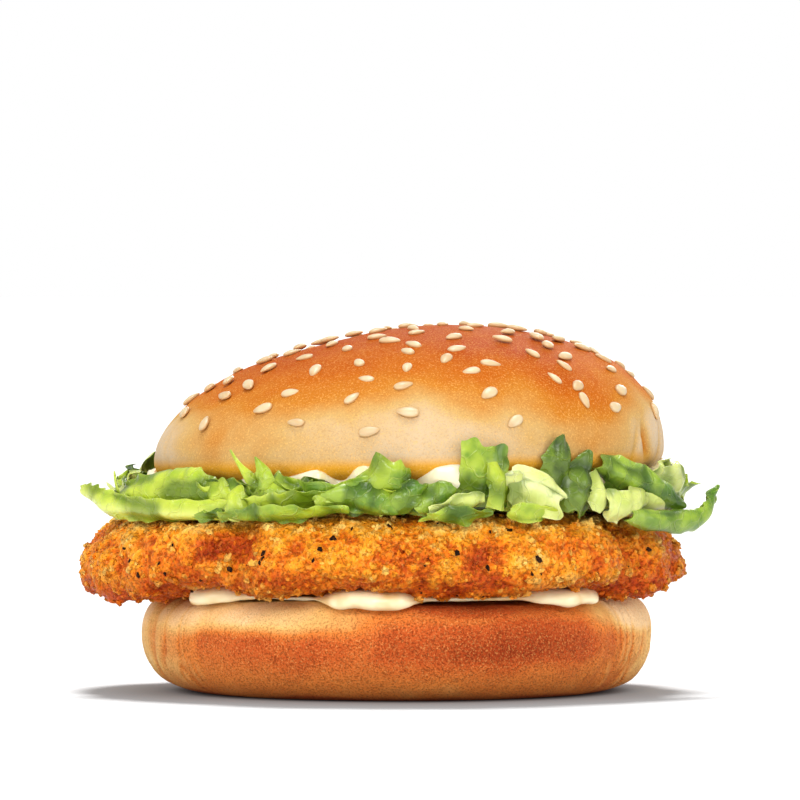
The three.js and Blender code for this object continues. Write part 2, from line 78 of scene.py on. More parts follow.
def smoothstep(value: np.ndarray, low: float, high: float) -> np.ndarray:
    """A smooth rise from 0 at low to 1 at high."""
    share = np.clip((value - low) / (high - low), 0, 1)
    return share * share * (3 - 2 * share)


def hump(bearing: np.ndarray, middle: float, half_width: float) -> np.ndarray:
    """A smooth hump of height 1 round a bearing, 0 from the half width on."""
    away = np.abs((np.asarray(bearing) - middle + 180) % 360 - 180)
    return np.where(away < half_width, 0.5 + 0.5 * np.cos(np.pi * np.minimum(away / half_width, 1)), 0)


def draw(index: int, stream: int) -> float:
    """A repeatable draw from 0 to 1 for a whole number."""
    value = math.sin(index * 12.9898 + stream * 78.233) * 43758.5453
    return value - math.floor(value)


def unit(vectors: np.ndarray) -> np.ndarray:
    """Vectors made one long."""
    return vectors / np.maximum(np.linalg.norm(vectors, axis=-1, keepdims=True), 1e-9)


def bezier(start: tuple, handle_a: tuple, handle_b: tuple, end: tuple, steps: int) -> np.ndarray:
    """Points along a cubic curve in a profile.

    Args:
        start: where it starts.
        handle_a: the handle that it leaves towards.
        handle_b: the handle that it arrives from.
        end: where it ends.
        steps: how many points.

    Returns:
        The points, without the first one.
    """
    t = np.linspace(0, 1, steps + 1)[1:, None]
    a, b, c, d = (np.array(p, float) for p in (start, handle_a, handle_b, end))
    return (1 - t) ** 3 * a + 3 * (1 - t) ** 2 * t * b + 3 * (1 - t) * t**2 * c + t**3 * d


class Relief:
    """Repeatable noise in space, for the uneven surfaces of food."""

    PRIMES = np.array([73856093, 19349663, 83492791], dtype=np.int64)
    MIXERS = (np.int64(1274126177), np.int64(668265263))
    LARGEST = 0xFFFFFF

    @classmethod
    def values(cls, cells: np.ndarray, stream: int) -> np.ndarray:
        """Draws a value for each whole-number cell.

        Args:
            cells: the cells, in the last axis.
            stream: a whole number that picks the pattern.

        Returns:
            One value from 0 to 1 for each cell.
        """
        mixed = cells.astype(np.int64) @ cls.PRIMES + np.int64(stream * 40503 + 977)
        mixed = (mixed ^ (mixed >> 13)) * cls.MIXERS[0]
        mixed = (mixed ^ (mixed >> 16)) * cls.MIXERS[1]
        return ((mixed ^ (mixed >> 15)) & cls.LARGEST) / cls.LARGEST

    @classmethod
    def lumps(cls, points: np.ndarray, size: float, stream: int) -> np.ndarray:
        """Smooth noise from -1 to 1 with lumps of about the given size.

        Args:
            points: places in millimetres, in the last axis.
            size: the spacing of the lumps in millimetres.
            stream: a whole number that picks the pattern.

        Returns:
            One value for each point.
        """
        scaled = points / size + 0.37 * stream
        base = np.floor(scaled)
        part = scaled - base
        part = part * part * part * (part * (6 * part - 15) + 10)
        total = np.zeros(points.shape[:-1])
        for corner in itertools.product((0, 1), repeat=3):
            weight = np.prod(np.where(np.array(corner) == 1, part, 1 - part), axis=-1)
            total += weight * cls.values(base + np.array(corner), stream)
        return 2 * total - 1

    @classmethod
    def granules(cls, points: np.ndarray, size: float, stream: int) -> tuple[np.ndarray, np.ndarray]:
        """Round granules packed at random.

        Args:
            points: places in millimetres, in the last axis.
            size: the spacing of the granules in millimetres.
            stream: a whole number that picks the pattern.

        Returns:
            How near each point is to its granule's middle, from 0 to 1, and that granule's own draw.
        """
        scaled = points / size
        base = np.floor(scaled)
        nearest = np.full(points.shape[:-1], 9.0)
        chosen = np.zeros(points.shape[:-1])
        for corner in itertools.product((-1, 0, 1), repeat=3):
            cell = base + np.array(corner)
            spots = np.stack([cls.values(cell, stream + axis) for axis in range(3)], axis=-1)
            distance = np.linalg.norm(cell + spots - scaled, axis=-1)
            closer = distance < nearest
            nearest = np.where(closer, distance, nearest)
            chosen = np.where(closer, cls.values(cell, stream + 7), chosen)
        return np.clip(1 - nearest, 0, 1), chosen


class Skin:
    """Vertices, faces and named values that grow piece by piece into one mesh."""

    def __init__(self) -> None:
        """Starts empty."""
        self.vertices: list[np.ndarray] = []
        self.faces: Faces = []
        self.values: dict[str, list[np.ndarray]] = {}
        self.count = 0

    def add(self, vertices: np.ndarray, faces: Faces, **values: np.ndarray) -> None:
        """Adds one closed piece.

        Args:
            vertices: its points in millimetres.
            faces: its faces, as numbers of its own points.
            values: named values, one for each point or one for all.
        """
        self.faces.extend(tuple(corner + self.count for corner in face) for face in faces)
        self.vertices.append(vertices)
        for name, value in values.items():
            spread = np.broadcast_to(np.asarray(value, float), (len(vertices),))
            self.values.setdefault(name, []).append(spread)
        self.count += len(vertices)

    def piece(self, name: str, finish: bpy.types.Material, sharp: float = 180.0) -> bpy.types.Object:
        """Makes the mesh object.

        Args:
            name: the piece's name.
            finish: its material.
            sharp: edges that turn by more than this many degrees stay sharp.

        Returns:
            The object, linked to the scene.
        """
        mesh = bpy.data.meshes.new(name)
        mesh.from_pydata((np.concatenate(self.vertices) * MM).tolist(), [], self.faces)
        for key, parts in self.values.items():
            attribute = mesh.attributes.new(key, "FLOAT", "POINT")
            attribute.data.foreach_set("value", np.concatenate(parts).astype(np.float32))
        mesh.shade_smooth()
        if sharp < 180:
            mesh.set_sharp_from_angle(angle=math.radians(sharp))
        mesh.materials.append(finish)
        mesh.validate()
        made = bpy.data.objects.new(name, mesh)
        bpy.context.scene.collection.objects.link(made)
        return made


class Turned:
    """A closed skin over rings of points, bottom to top, whose first and last ring shrink to a point."""

    def __init__(self, rings: np.ndarray) -> None:
        """Keeps rings of shape (rows, columns, 3)."""
        self.rings = rings

    @staticmethod
    def flat(grid: np.ndarray) -> np.ndarray:
        """One row of values for the skin's points from a grid of them."""
        inner = grid[1:-1].reshape(-1, *grid.shape[2:])
        return np.concatenate([grid[0].mean(axis=0)[None], inner, grid[-1].mean(axis=0)[None]])

    def normals(self) -> np.ndarray:
        """Works out which way the skin faces.

        Returns:
            The outward direction at each point of the rings.
        """
        around = np.roll(self.rings, -1, axis=1) - np.roll(self.rings, 1, axis=1)
        upward = np.gradient(self.rings, axis=0)
        found = unit(np.cross(around, upward))
        found[0] = (0, 0, -1)
        found[-1] = (0, 0, 1)
        return found

    def faces(self) -> Faces:
        """Joins the points of the rings.

        Returns:
            The skin's faces, pointing out.
        """
        rows, columns = self.rings.shape[:2]
        here = np.arange(columns)
        beside = (here + 1) % columns
        first = 1 + here
        made: Faces = [(0, int(b), int(a)) for a, b in zip(first, 1 + beside)]
        for row in range(rows - 3):
            low = 1 + row * columns
            high = low + columns
            quads = np.stack([low + here, low + beside, high + beside, high + here], axis=1)
            made.extend(map(tuple, quads.tolist()))
        low = 1 + (rows - 3) * columns
        top = low + columns
        made.extend((int(low + a), int(low + b), top) for a, b in zip(here, beside))
        return made

    def smoothed(self, passes: int) -> "Turned":
        """Evens the rings out.

        Args:
            passes: how many times.

        Returns:
            The smoother skin.
        """
        rings = self.rings
        for _ in range(passes):
            rings = 0.5 * rings + 0.25 * (np.roll(rings, 1, axis=1) + np.roll(rings, -1, axis=1))
            rings[1:-1] = 0.5 * rings[1:-1] + 0.25 * (rings[:-2] + rings[2:])
        return Turned(rings)

    def moved(self, moves: np.ndarray) -> "Turned":
        """The same skin with its points moved outwards."""
        return Turned(self.rings + self.normals() * moves[..., None])

    def piece(self, name: str, finish: bpy.types.Material, **values: np.ndarray) -> bpy.types.Object:
        """Makes the mesh object.

        Args:
            name: the piece's name.
            finish: its material.
            values: named values, one for each point of the rings or one for all.

        Returns:
            The object, linked to the scene.
        """
        shape = self.rings.shape[:2]
        spread = {key: self.flat(np.broadcast_to(value, shape)) for key, value in values.items()}
        skin = Skin()
        skin.add(self.flat(self.rings), self.faces(), **spread)
        return skin.piece(name, finish)


class Graph:
    """Adds and joins nodes in one node tree."""

    MIX_SHARE, MIX_FIRST, MIX_SECOND, MIX_RESULT = 0, 6, 7, 2

    def __init__(self, tree: bpy.types.NodeTree) -> None:
        """Keeps the tree."""
        self.tree = tree

    def feed(self, place: bpy.types.NodeSocket, value: object) -> None:
        """Links a socket to an input, or sets the input to a plain value.

        Args:
            place: the input.
            value: a socket, a number or a tuple of numbers.
        """
        if isinstance(value, bpy.types.NodeSocket):
            self.tree.links.new(value, place)
        else:
            place.default_value = value

    def dress(self, node: bpy.types.Node, **inputs: object) -> None:
        """Sets or links inputs of a node.

        Args:
            node: the node.
            inputs: values or sockets, by the input's name with _ for spaces, or as in_0, in_1.
        """
        for name, value in inputs.items():
            key = int(name[3:]) if name.startswith("in_") else name.replace("_", " ")
            self.feed(node.inputs[key], value)

    def add(self, kind: str, settings: dict | None = None, **inputs: object) -> bpy.types.Node:
        """Adds a node.

        Args:
            kind: the node's type name without its ShaderNode prefix, or a full name.
            settings: properties of the node.
            inputs: values or sockets for its inputs, as dress takes them.

        Returns:
            The node.
        """
        node = self.tree.nodes.new(kind if kind.startswith("Node") else f"ShaderNode{kind}")
        for name, value in (settings or {}).items():
            setattr(node, name, value)
        self.dress(node, **inputs)
        return node

    def math(self, operation: str, first: object, second: object = 0.0) -> bpy.types.NodeSocket:
        """The result of a sum on two values or sockets."""
        return self.add("Math", {"operation": operation}, in_0=first, in_1=second).outputs[0]

    def noise(self, size: float, detail: float = 2.0) -> bpy.types.NodeSocket:
        """Noise from 0 to 1 whose lumps are about size millimetres wide, in the object's own space."""
        place = self.add("TexCoord").outputs["Object"]
        return self.add("TexNoise", None, Vector=place, Scale=1 / (size * MM), Detail=detail).outputs["Fac"]

    def sway(self, size: float, detail: float, share: float) -> bpy.types.NodeSocket:
        """Noise that sways round 0, by half a share each way."""
        return self.math("MULTIPLY", self.math("SUBTRACT", self.noise(size, detail), 0.5), share)

    def band(self, value: object, low: float, high: float) -> bpy.types.NodeSocket:
        """A smooth mask along a value.

        Args:
            value: the value, as a socket or number.
            low: where the mask is 0.
            high: where the mask is 1, above or below low.

        Returns:
            The mask.
        """
        if low < high:
            ends = {"From_Min": low, "From_Max": high, "To_Min": 0.0, "To_Max": 1.0}
        else:
            ends = {"From_Min": high, "From_Max": low, "To_Min": 1.0, "To_Max": 0.0}
        return self.add("MapRange", {"interpolation_type": "SMOOTHSTEP"}, Value=value, **ends).outputs[0]

    def attribute(self, name: str) -> bpy.types.NodeSocket:
        """A value that the mesh holds for each point."""
        return self.add("Attribute", {"attribute_name": name}).outputs["Fac"]

    def ramp(self, value: object, stops: tuple) -> bpy.types.NodeSocket:
        """Colours along a value.

        Args:
            value: the value, as a socket or number.
            stops: (place, display colour) pairs in order.

        Returns:
            The colour.
        """
        node = self.add("ValToRGB", None, Fac=value)
        marks = node.color_ramp.elements
        while len(marks) < len(stops):
            marks.new(0.5)
        for mark, (place, colour) in zip(marks, stops):
            mark.position = place
            mark.color = linear(*colour)
        return node.outputs["Color"]

    def mix(self, share: object, first: object, second: object, blend: str = "MIX") -> bpy.types.NodeSocket:
        """Mixes two colours.

        Args:
            share: how much of the second, as a socket or number.
            first: a socket or a display colour.
            second: a socket or a display colour.
            blend: how they are mixed.

        Returns:
            The mixed colour.
        """
        node = self.add("Mix", {"data_type": "RGBA", "blend_type": blend})
        self.feed(node.inputs[self.MIX_SHARE], share)
        for place, colour in ((self.MIX_FIRST, first), (self.MIX_SECOND, second)):
            self.feed(node.inputs[place], linear(*colour) if isinstance(colour, tuple) else colour)
        return node.outputs[self.MIX_RESULT]

    def bump(self, height: object, strength: float, depth: float) -> bpy.types.NodeSocket:
        """A normal from a height, with the depth in millimetres."""
        return self.add("Bump", None, Height=height, Strength=strength, Distance=depth * MM).outputs[0]


def node_group(name: str, inputs: tuple[str, ...], outputs: tuple[str, ...]) -> tuple[Graph, dict, dict]:
    """An empty group of shader nodes with value sockets.

    Args:
        name: the group's name.
        inputs: names of its inputs.
        outputs: names of its outputs.

    Returns:
        The graph, its inputs as sockets to read and its outputs as sockets to feed.
    """
    tree = bpy.data.node_groups.new(name, "ShaderNodeTree")
    for label in inputs:
        tree.interface.new_socket(label, in_out="INPUT", socket_type="NodeSocketFloat")
    for label in outputs:
        tree.interface.new_socket(label, in_out="OUTPUT", socket_type="NodeSocketFloat")
    graph = Graph(tree)
    start = graph.add("NodeGroupInput")
    end = graph.add("NodeGroupOutput")
    return graph, {n: start.outputs[n] for n in inputs}, {n: end.inputs[n] for n in outputs}


def crust_speckle_group() -> bpy.types.NodeTree:
    """Fine pale flecks, dark pores and grain of a baked or fried crust.

    Returns:
        The group, which takes the size of the grain in millimetres.
    """
    pits_apart = (0.013, 0.007, 0.005)
    pit_depth = 0.6
    graph, given, result = node_group("crust speckle", ("Grain",), ("Pale", "Dark", "Height"))
    place = graph.add("TexCoord").outputs["Object"]
    scale = graph.math("DIVIDE", 1 / MM, given["Grain"])
    apart = graph.add("VectorMath", None, in_0=place, in_1=pits_apart).outputs[0]
    coarse = {"Scale": scale, "Detail": 3.0, "Roughness": 0.75}
    grains = graph.add("TexNoise", None, Vector=place, **coarse).outputs["Fac"]
    pits = graph.add("TexNoise", None, Vector=apart, **coarse).outputs["Fac"]
    flecks = graph.band(grains, 0.5, 0.68)
    holes = graph.band(pits, 0.5, 0.34)
    graph.tree.links.new(flecks, result["Pale"])
    graph.tree.links.new(holes, result["Dark"])
    sunk = graph.math("MULTIPLY", holes, pit_depth)
    graph.tree.links.new(graph.math("SUBTRACT", grains, sunk), result["Height"])
    return graph.tree


def leaf_vein_group() -> bpy.types.NodeTree:
    """The side veins of a leaf and the fine net between them.

    Returns:
        The group, which takes the leaf's own coordinates in millimetres.
    """
    vein_slant = 0.85
    veins_per_mm = 0.2
    net_per_mm = 0.42
    graph, given, result = node_group("leaf veins", ("Along", "Across"), ("Side", "Net"))
    away = graph.math("ABSOLUTE", given["Across"])
    slant = graph.math("SUBTRACT", given["Along"], graph.math("MULTIPLY", away, vein_slant))
    spot = graph.add("CombineXYZ", None, X=given["Along"], Y=given["Across"]).outputs[0]
    wobble = graph.add("TexNoise", None, Vector=spot, Scale=0.22, Detail=1.0).outputs["Fac"]
    even = graph.math("MULTIPLY", slant, veins_per_mm)
    phase = graph.math("ADD", even, graph.math("MULTIPLY", wobble, 1.6))
    gap = graph.math("ABSOLUTE", graph.math("SUBTRACT", graph.math("FRACT", phase), 0.5))
    graph.tree.links.new(graph.band(gap, 0.05, 0.0), result["Side"])
    net = graph.add("TexVoronoi", {"feature": "DISTANCE_TO_EDGE"}, Vector=spot, Scale=net_per_mm)
    graph.tree.links.new(graph.band(net.outputs["Distance"], 0.07, 0.0), result["Net"])
    return graph.tree


def new_material(name: str) -> tuple[bpy.types.Material, Graph, bpy.types.Node]:
    """Starts a material with one Principled shader.

    Args:
        name: its name.

    Returns:
        The material, the graph of its nodes and the shader.
    """
    material = bpy.data.materials.new(name)
    material.use_nodes = True
    return material, Graph(material.node_tree), material.node_tree.nodes["Principled BSDF"]


@dataclass(frozen=True)
class Glow:
    """Light that enters soft food: how much, its tint and how deep it goes in millimetres."""

    share: float
    tint: Colour
    depth: float

    def give(self, graph: Graph, shader: bpy.types.Node) -> None:
        """Lets light into a shader."""
        graph.dress(shader, Subsurface_Weight=self.share, Subsurface_Radius=self.tint)
        graph.dress(shader, Subsurface_Scale=self.depth * MM)


@dataclass(frozen=True)
class CrustFinish:
    """Baked bread crust, from two values on the mesh.

    They are how brown it is, from 0 for pale to 1 for brown, which also holds painted rim light, a painted
    paler bottom and painted shade in creases; and the golden rim, 1 on the crown's curled rim, partly its
    own golden colour and partly painted light.
    """

    name: str
    stops: tuple
    fleck: Colour
    pore: Colour
    golden_rim_and_painted_light: Colour
    fleck_share: float
    pore_share: float
    relief: float
    sheen: float
    grain: float = 0.36
    roughness: float = 0.62
    mottle_size: float = 7.0
    mottle_share: float = 0.3
    relief_depth: float = 0.45

    def make(self, speckle: bpy.types.NodeTree) -> bpy.types.Material:
        """Builds the material.

        Args:
            speckle: the shared group of crust speckle.

        Returns:
            The material.
        """
        material, graph, shader = new_material(self.name)
        specks = graph.add("Group", {"node_tree": speckle}, Grain=self.grain)
        mottle = graph.sway(self.mottle_size, 3.0, self.mottle_share)
        # The brown value carries painted rim light and painted shade; the golden rim value carries painted
        # light.
        bake_and_painted_shading = graph.math("ADD", graph.attribute("bake_and_painted_shading"), mottle)
        crust = graph.mix(graph.attribute("golden_rim_and_painted_light"), graph.ramp(bake_and_painted_shading, self.stops), self.golden_rim_and_painted_light)
        pale = graph.math("MULTIPLY", specks.outputs["Pale"], self.fleck_share)
        deep = graph.math("MULTIPLY", graph.band(bake_and_painted_shading, 0.1, 0.7), self.pore_share)
        dark = graph.math("MULTIPLY", specks.outputs["Dark"], graph.math("ADD", deep, 0.2))
        colour = graph.mix(dark, graph.mix(pale, crust, self.fleck), self.pore)
        baked = graph.math("ADD", 0.4, graph.math("MULTIPLY", graph.band(bake_and_painted_shading, 0.05, 0.5), 0.6))
        height = graph.math("MULTIPLY", specks.outputs["Height"], baked)
        normal = graph.bump(height, self.relief, self.relief_depth)
        graph.dress(shader, Base_Color=colour, Normal=normal, Roughness=self.roughness)
        graph.dress(shader, Specular_IOR_Level=self.sheen)
        return material


@dataclass(frozen=True)
class BreadingFinish:
    """Fried breading, from values called height and brown on the mesh, which carry its browning and painted
    light and shade.
    """

    name: str
    stops: tuple
    dark: Colour
    fleck: Colour = (252, 196, 96)
    pore: Colour = (168, 66, 8)
    fleck_share: float = 0.4
    pore_share: float = 0.3
    grain: float = 0.75
    patch_size: float = 8.0
    patch_share: float = 0.45
    crumb_size: float = 0.8
    crumb_share: float = 0.5
    relief_depth: float = 0.55
    roughness: float = 0.32
    rough_share: float = 0.25
    sheen: float = 0.2

    def make(self, speckle: bpy.types.NodeTree) -> bpy.types.Material:
        """Builds the material.

        Args:
            speckle: the shared group of crust speckle.

        Returns:
            The material.
        """
        material, graph, shader = new_material(self.name)
        specks = graph.add("Group", {"node_tree": speckle}, Grain=self.grain)
        patches = graph.sway(self.patch_size, 2.0, self.patch_share)
        crumbs = graph.sway(self.crumb_size, 2.0, self.crumb_share)
        # The ramp along the height paints the hollows dark and the crags golden: painted shade and light.
        tone = graph.math("ADD", graph.attribute("height"), graph.math("ADD", patches, crumbs))
        pale = graph.math("MULTIPLY", specks.outputs["Pale"], self.fleck_share)
        deep = graph.math("MULTIPLY", specks.outputs["Dark"], self.pore_share)
        flecked = graph.mix(pale, graph.ramp(tone, self.stops), self.fleck)
        flecked = graph.mix(deep, flecked, self.pore)
        # The brown value darkens it: browning and painted shade.
        colour = graph.mix(graph.attribute("brown"), flecked, self.dark, "MULTIPLY")
        uneven = graph.math("MULTIPLY", graph.noise(1.4), self.rough_share)
        normal = graph.bump(specks.outputs["Height"], 1.0, self.relief_depth)
        graph.dress(shader, Base_Color=colour, Normal=normal, Specular_IOR_Level=self.sheen)
        graph.dress(shader, Roughness=graph.math("ADD", self.roughness, uneven))
        return material


class LeafTone(Enum):
    """The kinds of lettuce in the bed: blade, shade between the veins, and vein colours."""

    PALE = ((204, 212, 116), (180, 193, 86), (232, 237, 178))
    LIGHT = ((184, 200, 52), (152, 178, 36), (218, 226, 122))
    BRIGHT = ((156, 178, 40), (98, 134, 22), (204, 216, 108))
    MID = ((138, 166, 42), (78, 118, 22), (190, 206, 102))
    # DARK is also laid where leaves lie in shade and behind them: painted shade.
    DARK = ((100, 126, 30), (56, 84, 14), (146, 162, 62))


@dataclass(frozen=True)
class LeafFinish:
    """A thin crisp leaf that lets light through, from its own coordinates on the mesh."""

    tone: LeafTone
    painted_shade_colour: Colour = (128, 150, 78)
    painted_shade_share: float = 0.85
    side_share: float = 0.3
    net_share: float = 0.05
    mottle_size: float = 4.5
    blister_size: float = 1.6
    blister_share: float = 0.8
    relief_depth: float = 0.35
    roughness: float = 0.3
    sheen: float = 0.4
    glow: Glow = Glow(0.3, (0.8, 1.0, 0.25), 0.6)

    def make(self, veins: bpy.types.NodeTree) -> bpy.types.Material:
        """Builds the material.

        Args:
            veins: the shared group of leaf veins.

        Returns:
            The material.
        """
        blade, shade, vein = self.tone.value
        material, graph, shader = new_material(f"lettuce {self.tone.name.lower()}")
        along = graph.attribute("leaf_x")
        across = graph.attribute("leaf_y")
        lines = graph.add("Group", {"node_tree": veins}, Along=along, Across=across)
        mottle = graph.band(graph.noise(self.mottle_size, 3.0), 0.38, 0.66)
        side = graph.math("MULTIPLY", lines.outputs["Side"], self.side_share)
        net = graph.math("MULTIPLY", lines.outputs["Net"], self.net_share)
        colour = graph.mix(graph.math("MAXIMUM", side, net), graph.mix(mottle, blade, shade), vein)
        colour = graph.mix(graph.attribute("pale"), colour, vein)
        # Painted shade: darker deep in the folds, and the core is dark all over.
        deep = graph.math("MULTIPLY", graph.attribute("painted_shade_mask"), self.painted_shade_share)
        colour = graph.mix(deep, colour, self.painted_shade_colour, "MULTIPLY")
        height = graph.math("ADD", lines.outputs["Side"], graph.math("MULTIPLY", lines.outputs["Net"], 0.3))
        blisters = graph.math("MULTIPLY", graph.noise(self.blister_size), self.blister_share)
        normal = graph.bump(graph.math("ADD", height, blisters), 0.5, self.relief_depth)
        graph.dress(shader, Base_Color=colour, Normal=normal, Roughness=self.roughness)
        graph.dress(shader, Specular_IOR_Level=self.sheen)
        self.glow.give(graph, shader)
        return material


@dataclass(frozen=True)
class SauceFinish:
    """Thick creamy sauce."""

    name: str
    body: Colour
    thin: Colour
    patch_size: float = 6.0
    ripple_size: float = 2.2
    ripple_depth: float = 0.4
    roughness: float = 0.22
    glow: Glow = Glow(0.4, (1.0, 0.8, 0.55), 1.5)

    def make(self) -> bpy.types.Material:
        """Builds the material.

        Returns:
            The material.
        """
        material, graph, shader = new_material(self.name)
        colour = graph.mix(graph.band(graph.noise(self.patch_size), 0.4, 0.7), self.body, self.thin)
        normal = graph.bump(graph.noise(self.ripple_size, 1.0), 0.12, self.ripple_depth)
        graph.dress(shader, Base_Color=colour, Normal=normal, Roughness=self.roughness)
        self.glow.give(graph, shader)
        return material


@dataclass(frozen=True)
class SeedFinish:
    """Sesame seeds, from three values on the mesh.

    They are along, from tail to point, side, from top to rim, and tint, the toast of the whole seed. The
    point is browned, and the rim is darkened as painted shade where the seed sits on the crust.
    """

    ivory: Colour = (210, 189, 150)
    toast_and_rim_shade_colour: Colour = (190, 142, 82)
    tip_share: float = 0.6
    rim_painted_shade: float = 0.8
    roughness: float = 0.36
    glow: Glow = Glow(0.3, (1.0, 0.7, 0.4), 0.8)

    def make(self) -> bpy.types.Material:
        """Builds the material.

        Returns:
            The material.
        """
        material, graph, shader = new_material("sesame seed")
        tip = graph.math("MULTIPLY", graph.band(graph.attribute("along"), 0.55, 1.0), self.tip_share)
        # Painted shade: the rim of each seed is darkened where it meets the crust.
        rim = graph.math("MULTIPLY", graph.band(graph.attribute("side"), 0.35, 1.0), self.rim_painted_shade)
        toast = graph.math("MAXIMUM", graph.math("MAXIMUM", tip, rim), graph.attribute("tint"))
        colour = graph.mix(toast, self.ivory, self.toast_and_rim_shade_colour)
        normal = graph.bump(graph.noise(0.5), 0.15, 0.1)
        graph.dress(shader, Base_Color=colour, Normal=normal, Roughness=self.roughness)
        self.glow.give(graph, shader)
        return material


@dataclass(frozen=True)
class PepperFinish:
    """Coarse black pepper."""

    black: Colour = (26, 14, 8)
    brown: Colour = (70, 38, 16)
    roughness: float = 0.7
    sheen: float = 0.1

    def make(self) -> bpy.types.Material:
        """Builds the material.

        Returns:
            The material.
        """
        material, graph, shader = new_material("black pepper")
        colour = graph.mix(graph.band(graph.noise(0.5), 0.45, 0.7), self.black, self.brown)
        normal = graph.bump(graph.noise(0.3), 0.6, 0.15)
        graph.dress(shader, Base_Color=colour, Normal=normal, Roughness=self.roughness)
        graph.dress(shader, Specular_IOR_Level=self.sheen)
        return material


def keep(piece: bpy.types.Object, slot: str, *nodes: str) -> bpy.types.Object:
    """Lets a piece ride on the burger and stand for solids.

    Args:
        piece: the piece.
        slot: the name of its slot; not used.
        nodes: the solids that it stands for, if any.

    Returns:
        The piece.
    """
    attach(piece, "root")
    if nodes:
        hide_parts(*nodes)
    return piece


@dataclass
class Heel:
    """The bun's lower half.

    Pale sides are (bearing, half width) of the stretches of its upper band that are baked less.
    """

    radius: float = 47.6
    height: float = 18.4
    foot_radius: float = 36.0
    rim_radius: float = 42.5
    rim_dip: float = 0.7
    waist_share: float = 0.6
    wrinkle_depth: float = 0.35
    dent_depth: float = 0.35
    grain_depth: float = 0.05
    pale_sides: tuple = ((-35, 46), (74, 28), (170, 60))
    columns: int = 480

    def profile(self) -> np.ndarray:
        """Draws half of the outline.

        Returns:
            (radius, height) points from the middle of the foot to the middle of the cut face.
        """
        foot = (self.foot_radius, 0)
        foot_handle = (self.foot_radius + 0.65 * (self.radius - self.foot_radius), 0)
        waist = (self.radius, self.waist_share * self.height)
        rim = (self.rim_radius, self.height)
        rim_handle = (self.rim_radius + 0.72 * (self.radius - self.rim_radius), 0.957 * self.height)
        lower = bezier(foot, foot_handle, (self.radius, 0.25 * self.height), waist, 42)
        upper = bezier(waist, (self.radius, 0.79 * self.height), rim_handle, rim, 30)
        bottom = [(share * self.foot_radius, 0) for share in (0, 0.3, 0.6, 0.9, 1)]
        top = [(share * self.rim_radius, self.height) for share in (0.96, 0.9, 0.75, 0.5, 0.25, 0)]
        return np.concatenate([bottom, lower, upper, top])

    def rings(self) -> np.ndarray:
        """Turns the outline, a little out of round.

        Returns:
            The crust's rings of points before the fine relief.
        """
        profile = self.profile()
        bearing = np.linspace(0, 360, self.columns, endpoint=False)[None, :]
        radius, height = profile[:, :1], profile[:, 1:]
        above_foot = smoothstep(height, 0, 0.33 * self.height)
        uneven = 0.006 * np.sin(np.radians(3 * bearing + 40)) - 0.01 * hump(bearing, 68, 26)
        radius = radius * (1 + above_foot * uneven)
        share = radius / self.radius
        at_rim = smoothstep(height, 0.7 * self.height, self.height) * smoothstep(share, 0.6, 0.9)
        dip = at_rim * self.rim_dip * (0.5 + 0.5 * np.sin(np.radians(4 * bearing - 30)))
        return polar(bearing, radius, height - dip)

    def bake_and_painted_shading(self, rings: np.ndarray) -> np.ndarray:
        """How brown the crust is, with levels as shares of the heel's height, and where light and shade are
        painted into it.

        Args:
            rings: the crust's rings of points.

        Returns:
            A value from 0 for pale to 1 for brown at each point.
        """
        bearing = bearings(rings)
        level = rings[..., 2] / self.height + 0.05 * Relief.lumps(rings, 14, 3)
        # Paler towards the bottom: painted light that offsets the shade near the table.
        body = 0.76 + 0.1 * Relief.lumps(rings, 22, 4) - 0.24 * smoothstep(level, 0.48, 0.1)
        band = 0.64 - 0.08 * smoothstep(level, 0.7, 0.9)
        band -= 0.46 * np.max([hump(bearing, *side) for side in self.pale_sides], axis=0)
        tone = body + (band - body) * smoothstep(level, 0.58, 0.78)
        brown_lip = np.maximum(hump(bearing, 14, 40), 0.8 * hump(bearing, -72, 16))
        tone += 0.22 * (smoothstep(level, 0.84, 0.92) * brown_lip)
        # Paler at the two ends as seen from the front: painted rim light.
        ends = np.abs(np.sin(np.radians(bearing))) ** 5
        tone -= 0.48 * ends * smoothstep(level, 0.06, 0.4)
        tone += 0.25 * hump(bearing, 28, 42) * smoothstep(level, 0.36, 0.5) * smoothstep(level, 0.92, 0.74)
        # Darker at the very bottom edge; darker in the creases of the wrinkles and paler on their ridges:
        # painted shade in the creases.
        return np.clip(tone + 0.3 * smoothstep(level, 0.05, 0.0) - 0.16 * self.wrinkles(rings), 0, 1)

    def wrinkles(self, rings: np.ndarray) -> np.ndarray:
        """The upright wrinkles at the two ends.

        Args:
            rings: the crust's rings of points.

        Returns:
            Their height at each point, as a share of their depth.
        """
        bearing = bearings(rings)
        flat = polar(bearing, np.full_like(bearing, self.radius), rings[..., 2] / 6)
        ends = smoothstep(np.abs(np.sin(np.radians(bearing))), 0.66, 0.92)
        creased = np.minimum(np.abs(Relief.lumps(flat, 2.4, 11)), np.abs(Relief.lumps(flat, 4.2, 12)))
        return ends * (smoothstep(creased, 0.0, 0.22) - 0.7)

    def build(self, finish: bpy.types.Material) -> bpy.types.Object:
        """Makes the crust with its wrinkles and grain.

        Args:
            finish: its material.

        Returns:
            The piece.
        """
        turned = Turned(self.rings())
        rings = turned.rings
        side = smoothstep(rings[..., 2], 0.3, 3)
        grain = self.grain_depth * Relief.lumps(rings, 0.9, 13) + 0.1 * Relief.lumps(rings, 5, 14)
        dents = self.dent_depth * Relief.lumps(rings, 16, 15)
        made = turned.moved(side * (self.wrinkle_depth * self.wrinkles(rings) + grain + dents))
        piece = made.piece("heel_crust", finish, bake_and_painted_shading=self.bake_and_painted_shading(made.rings), golden_rim_and_painted_light=0.0)
        return keep(piece, "heel_crust", "heel")


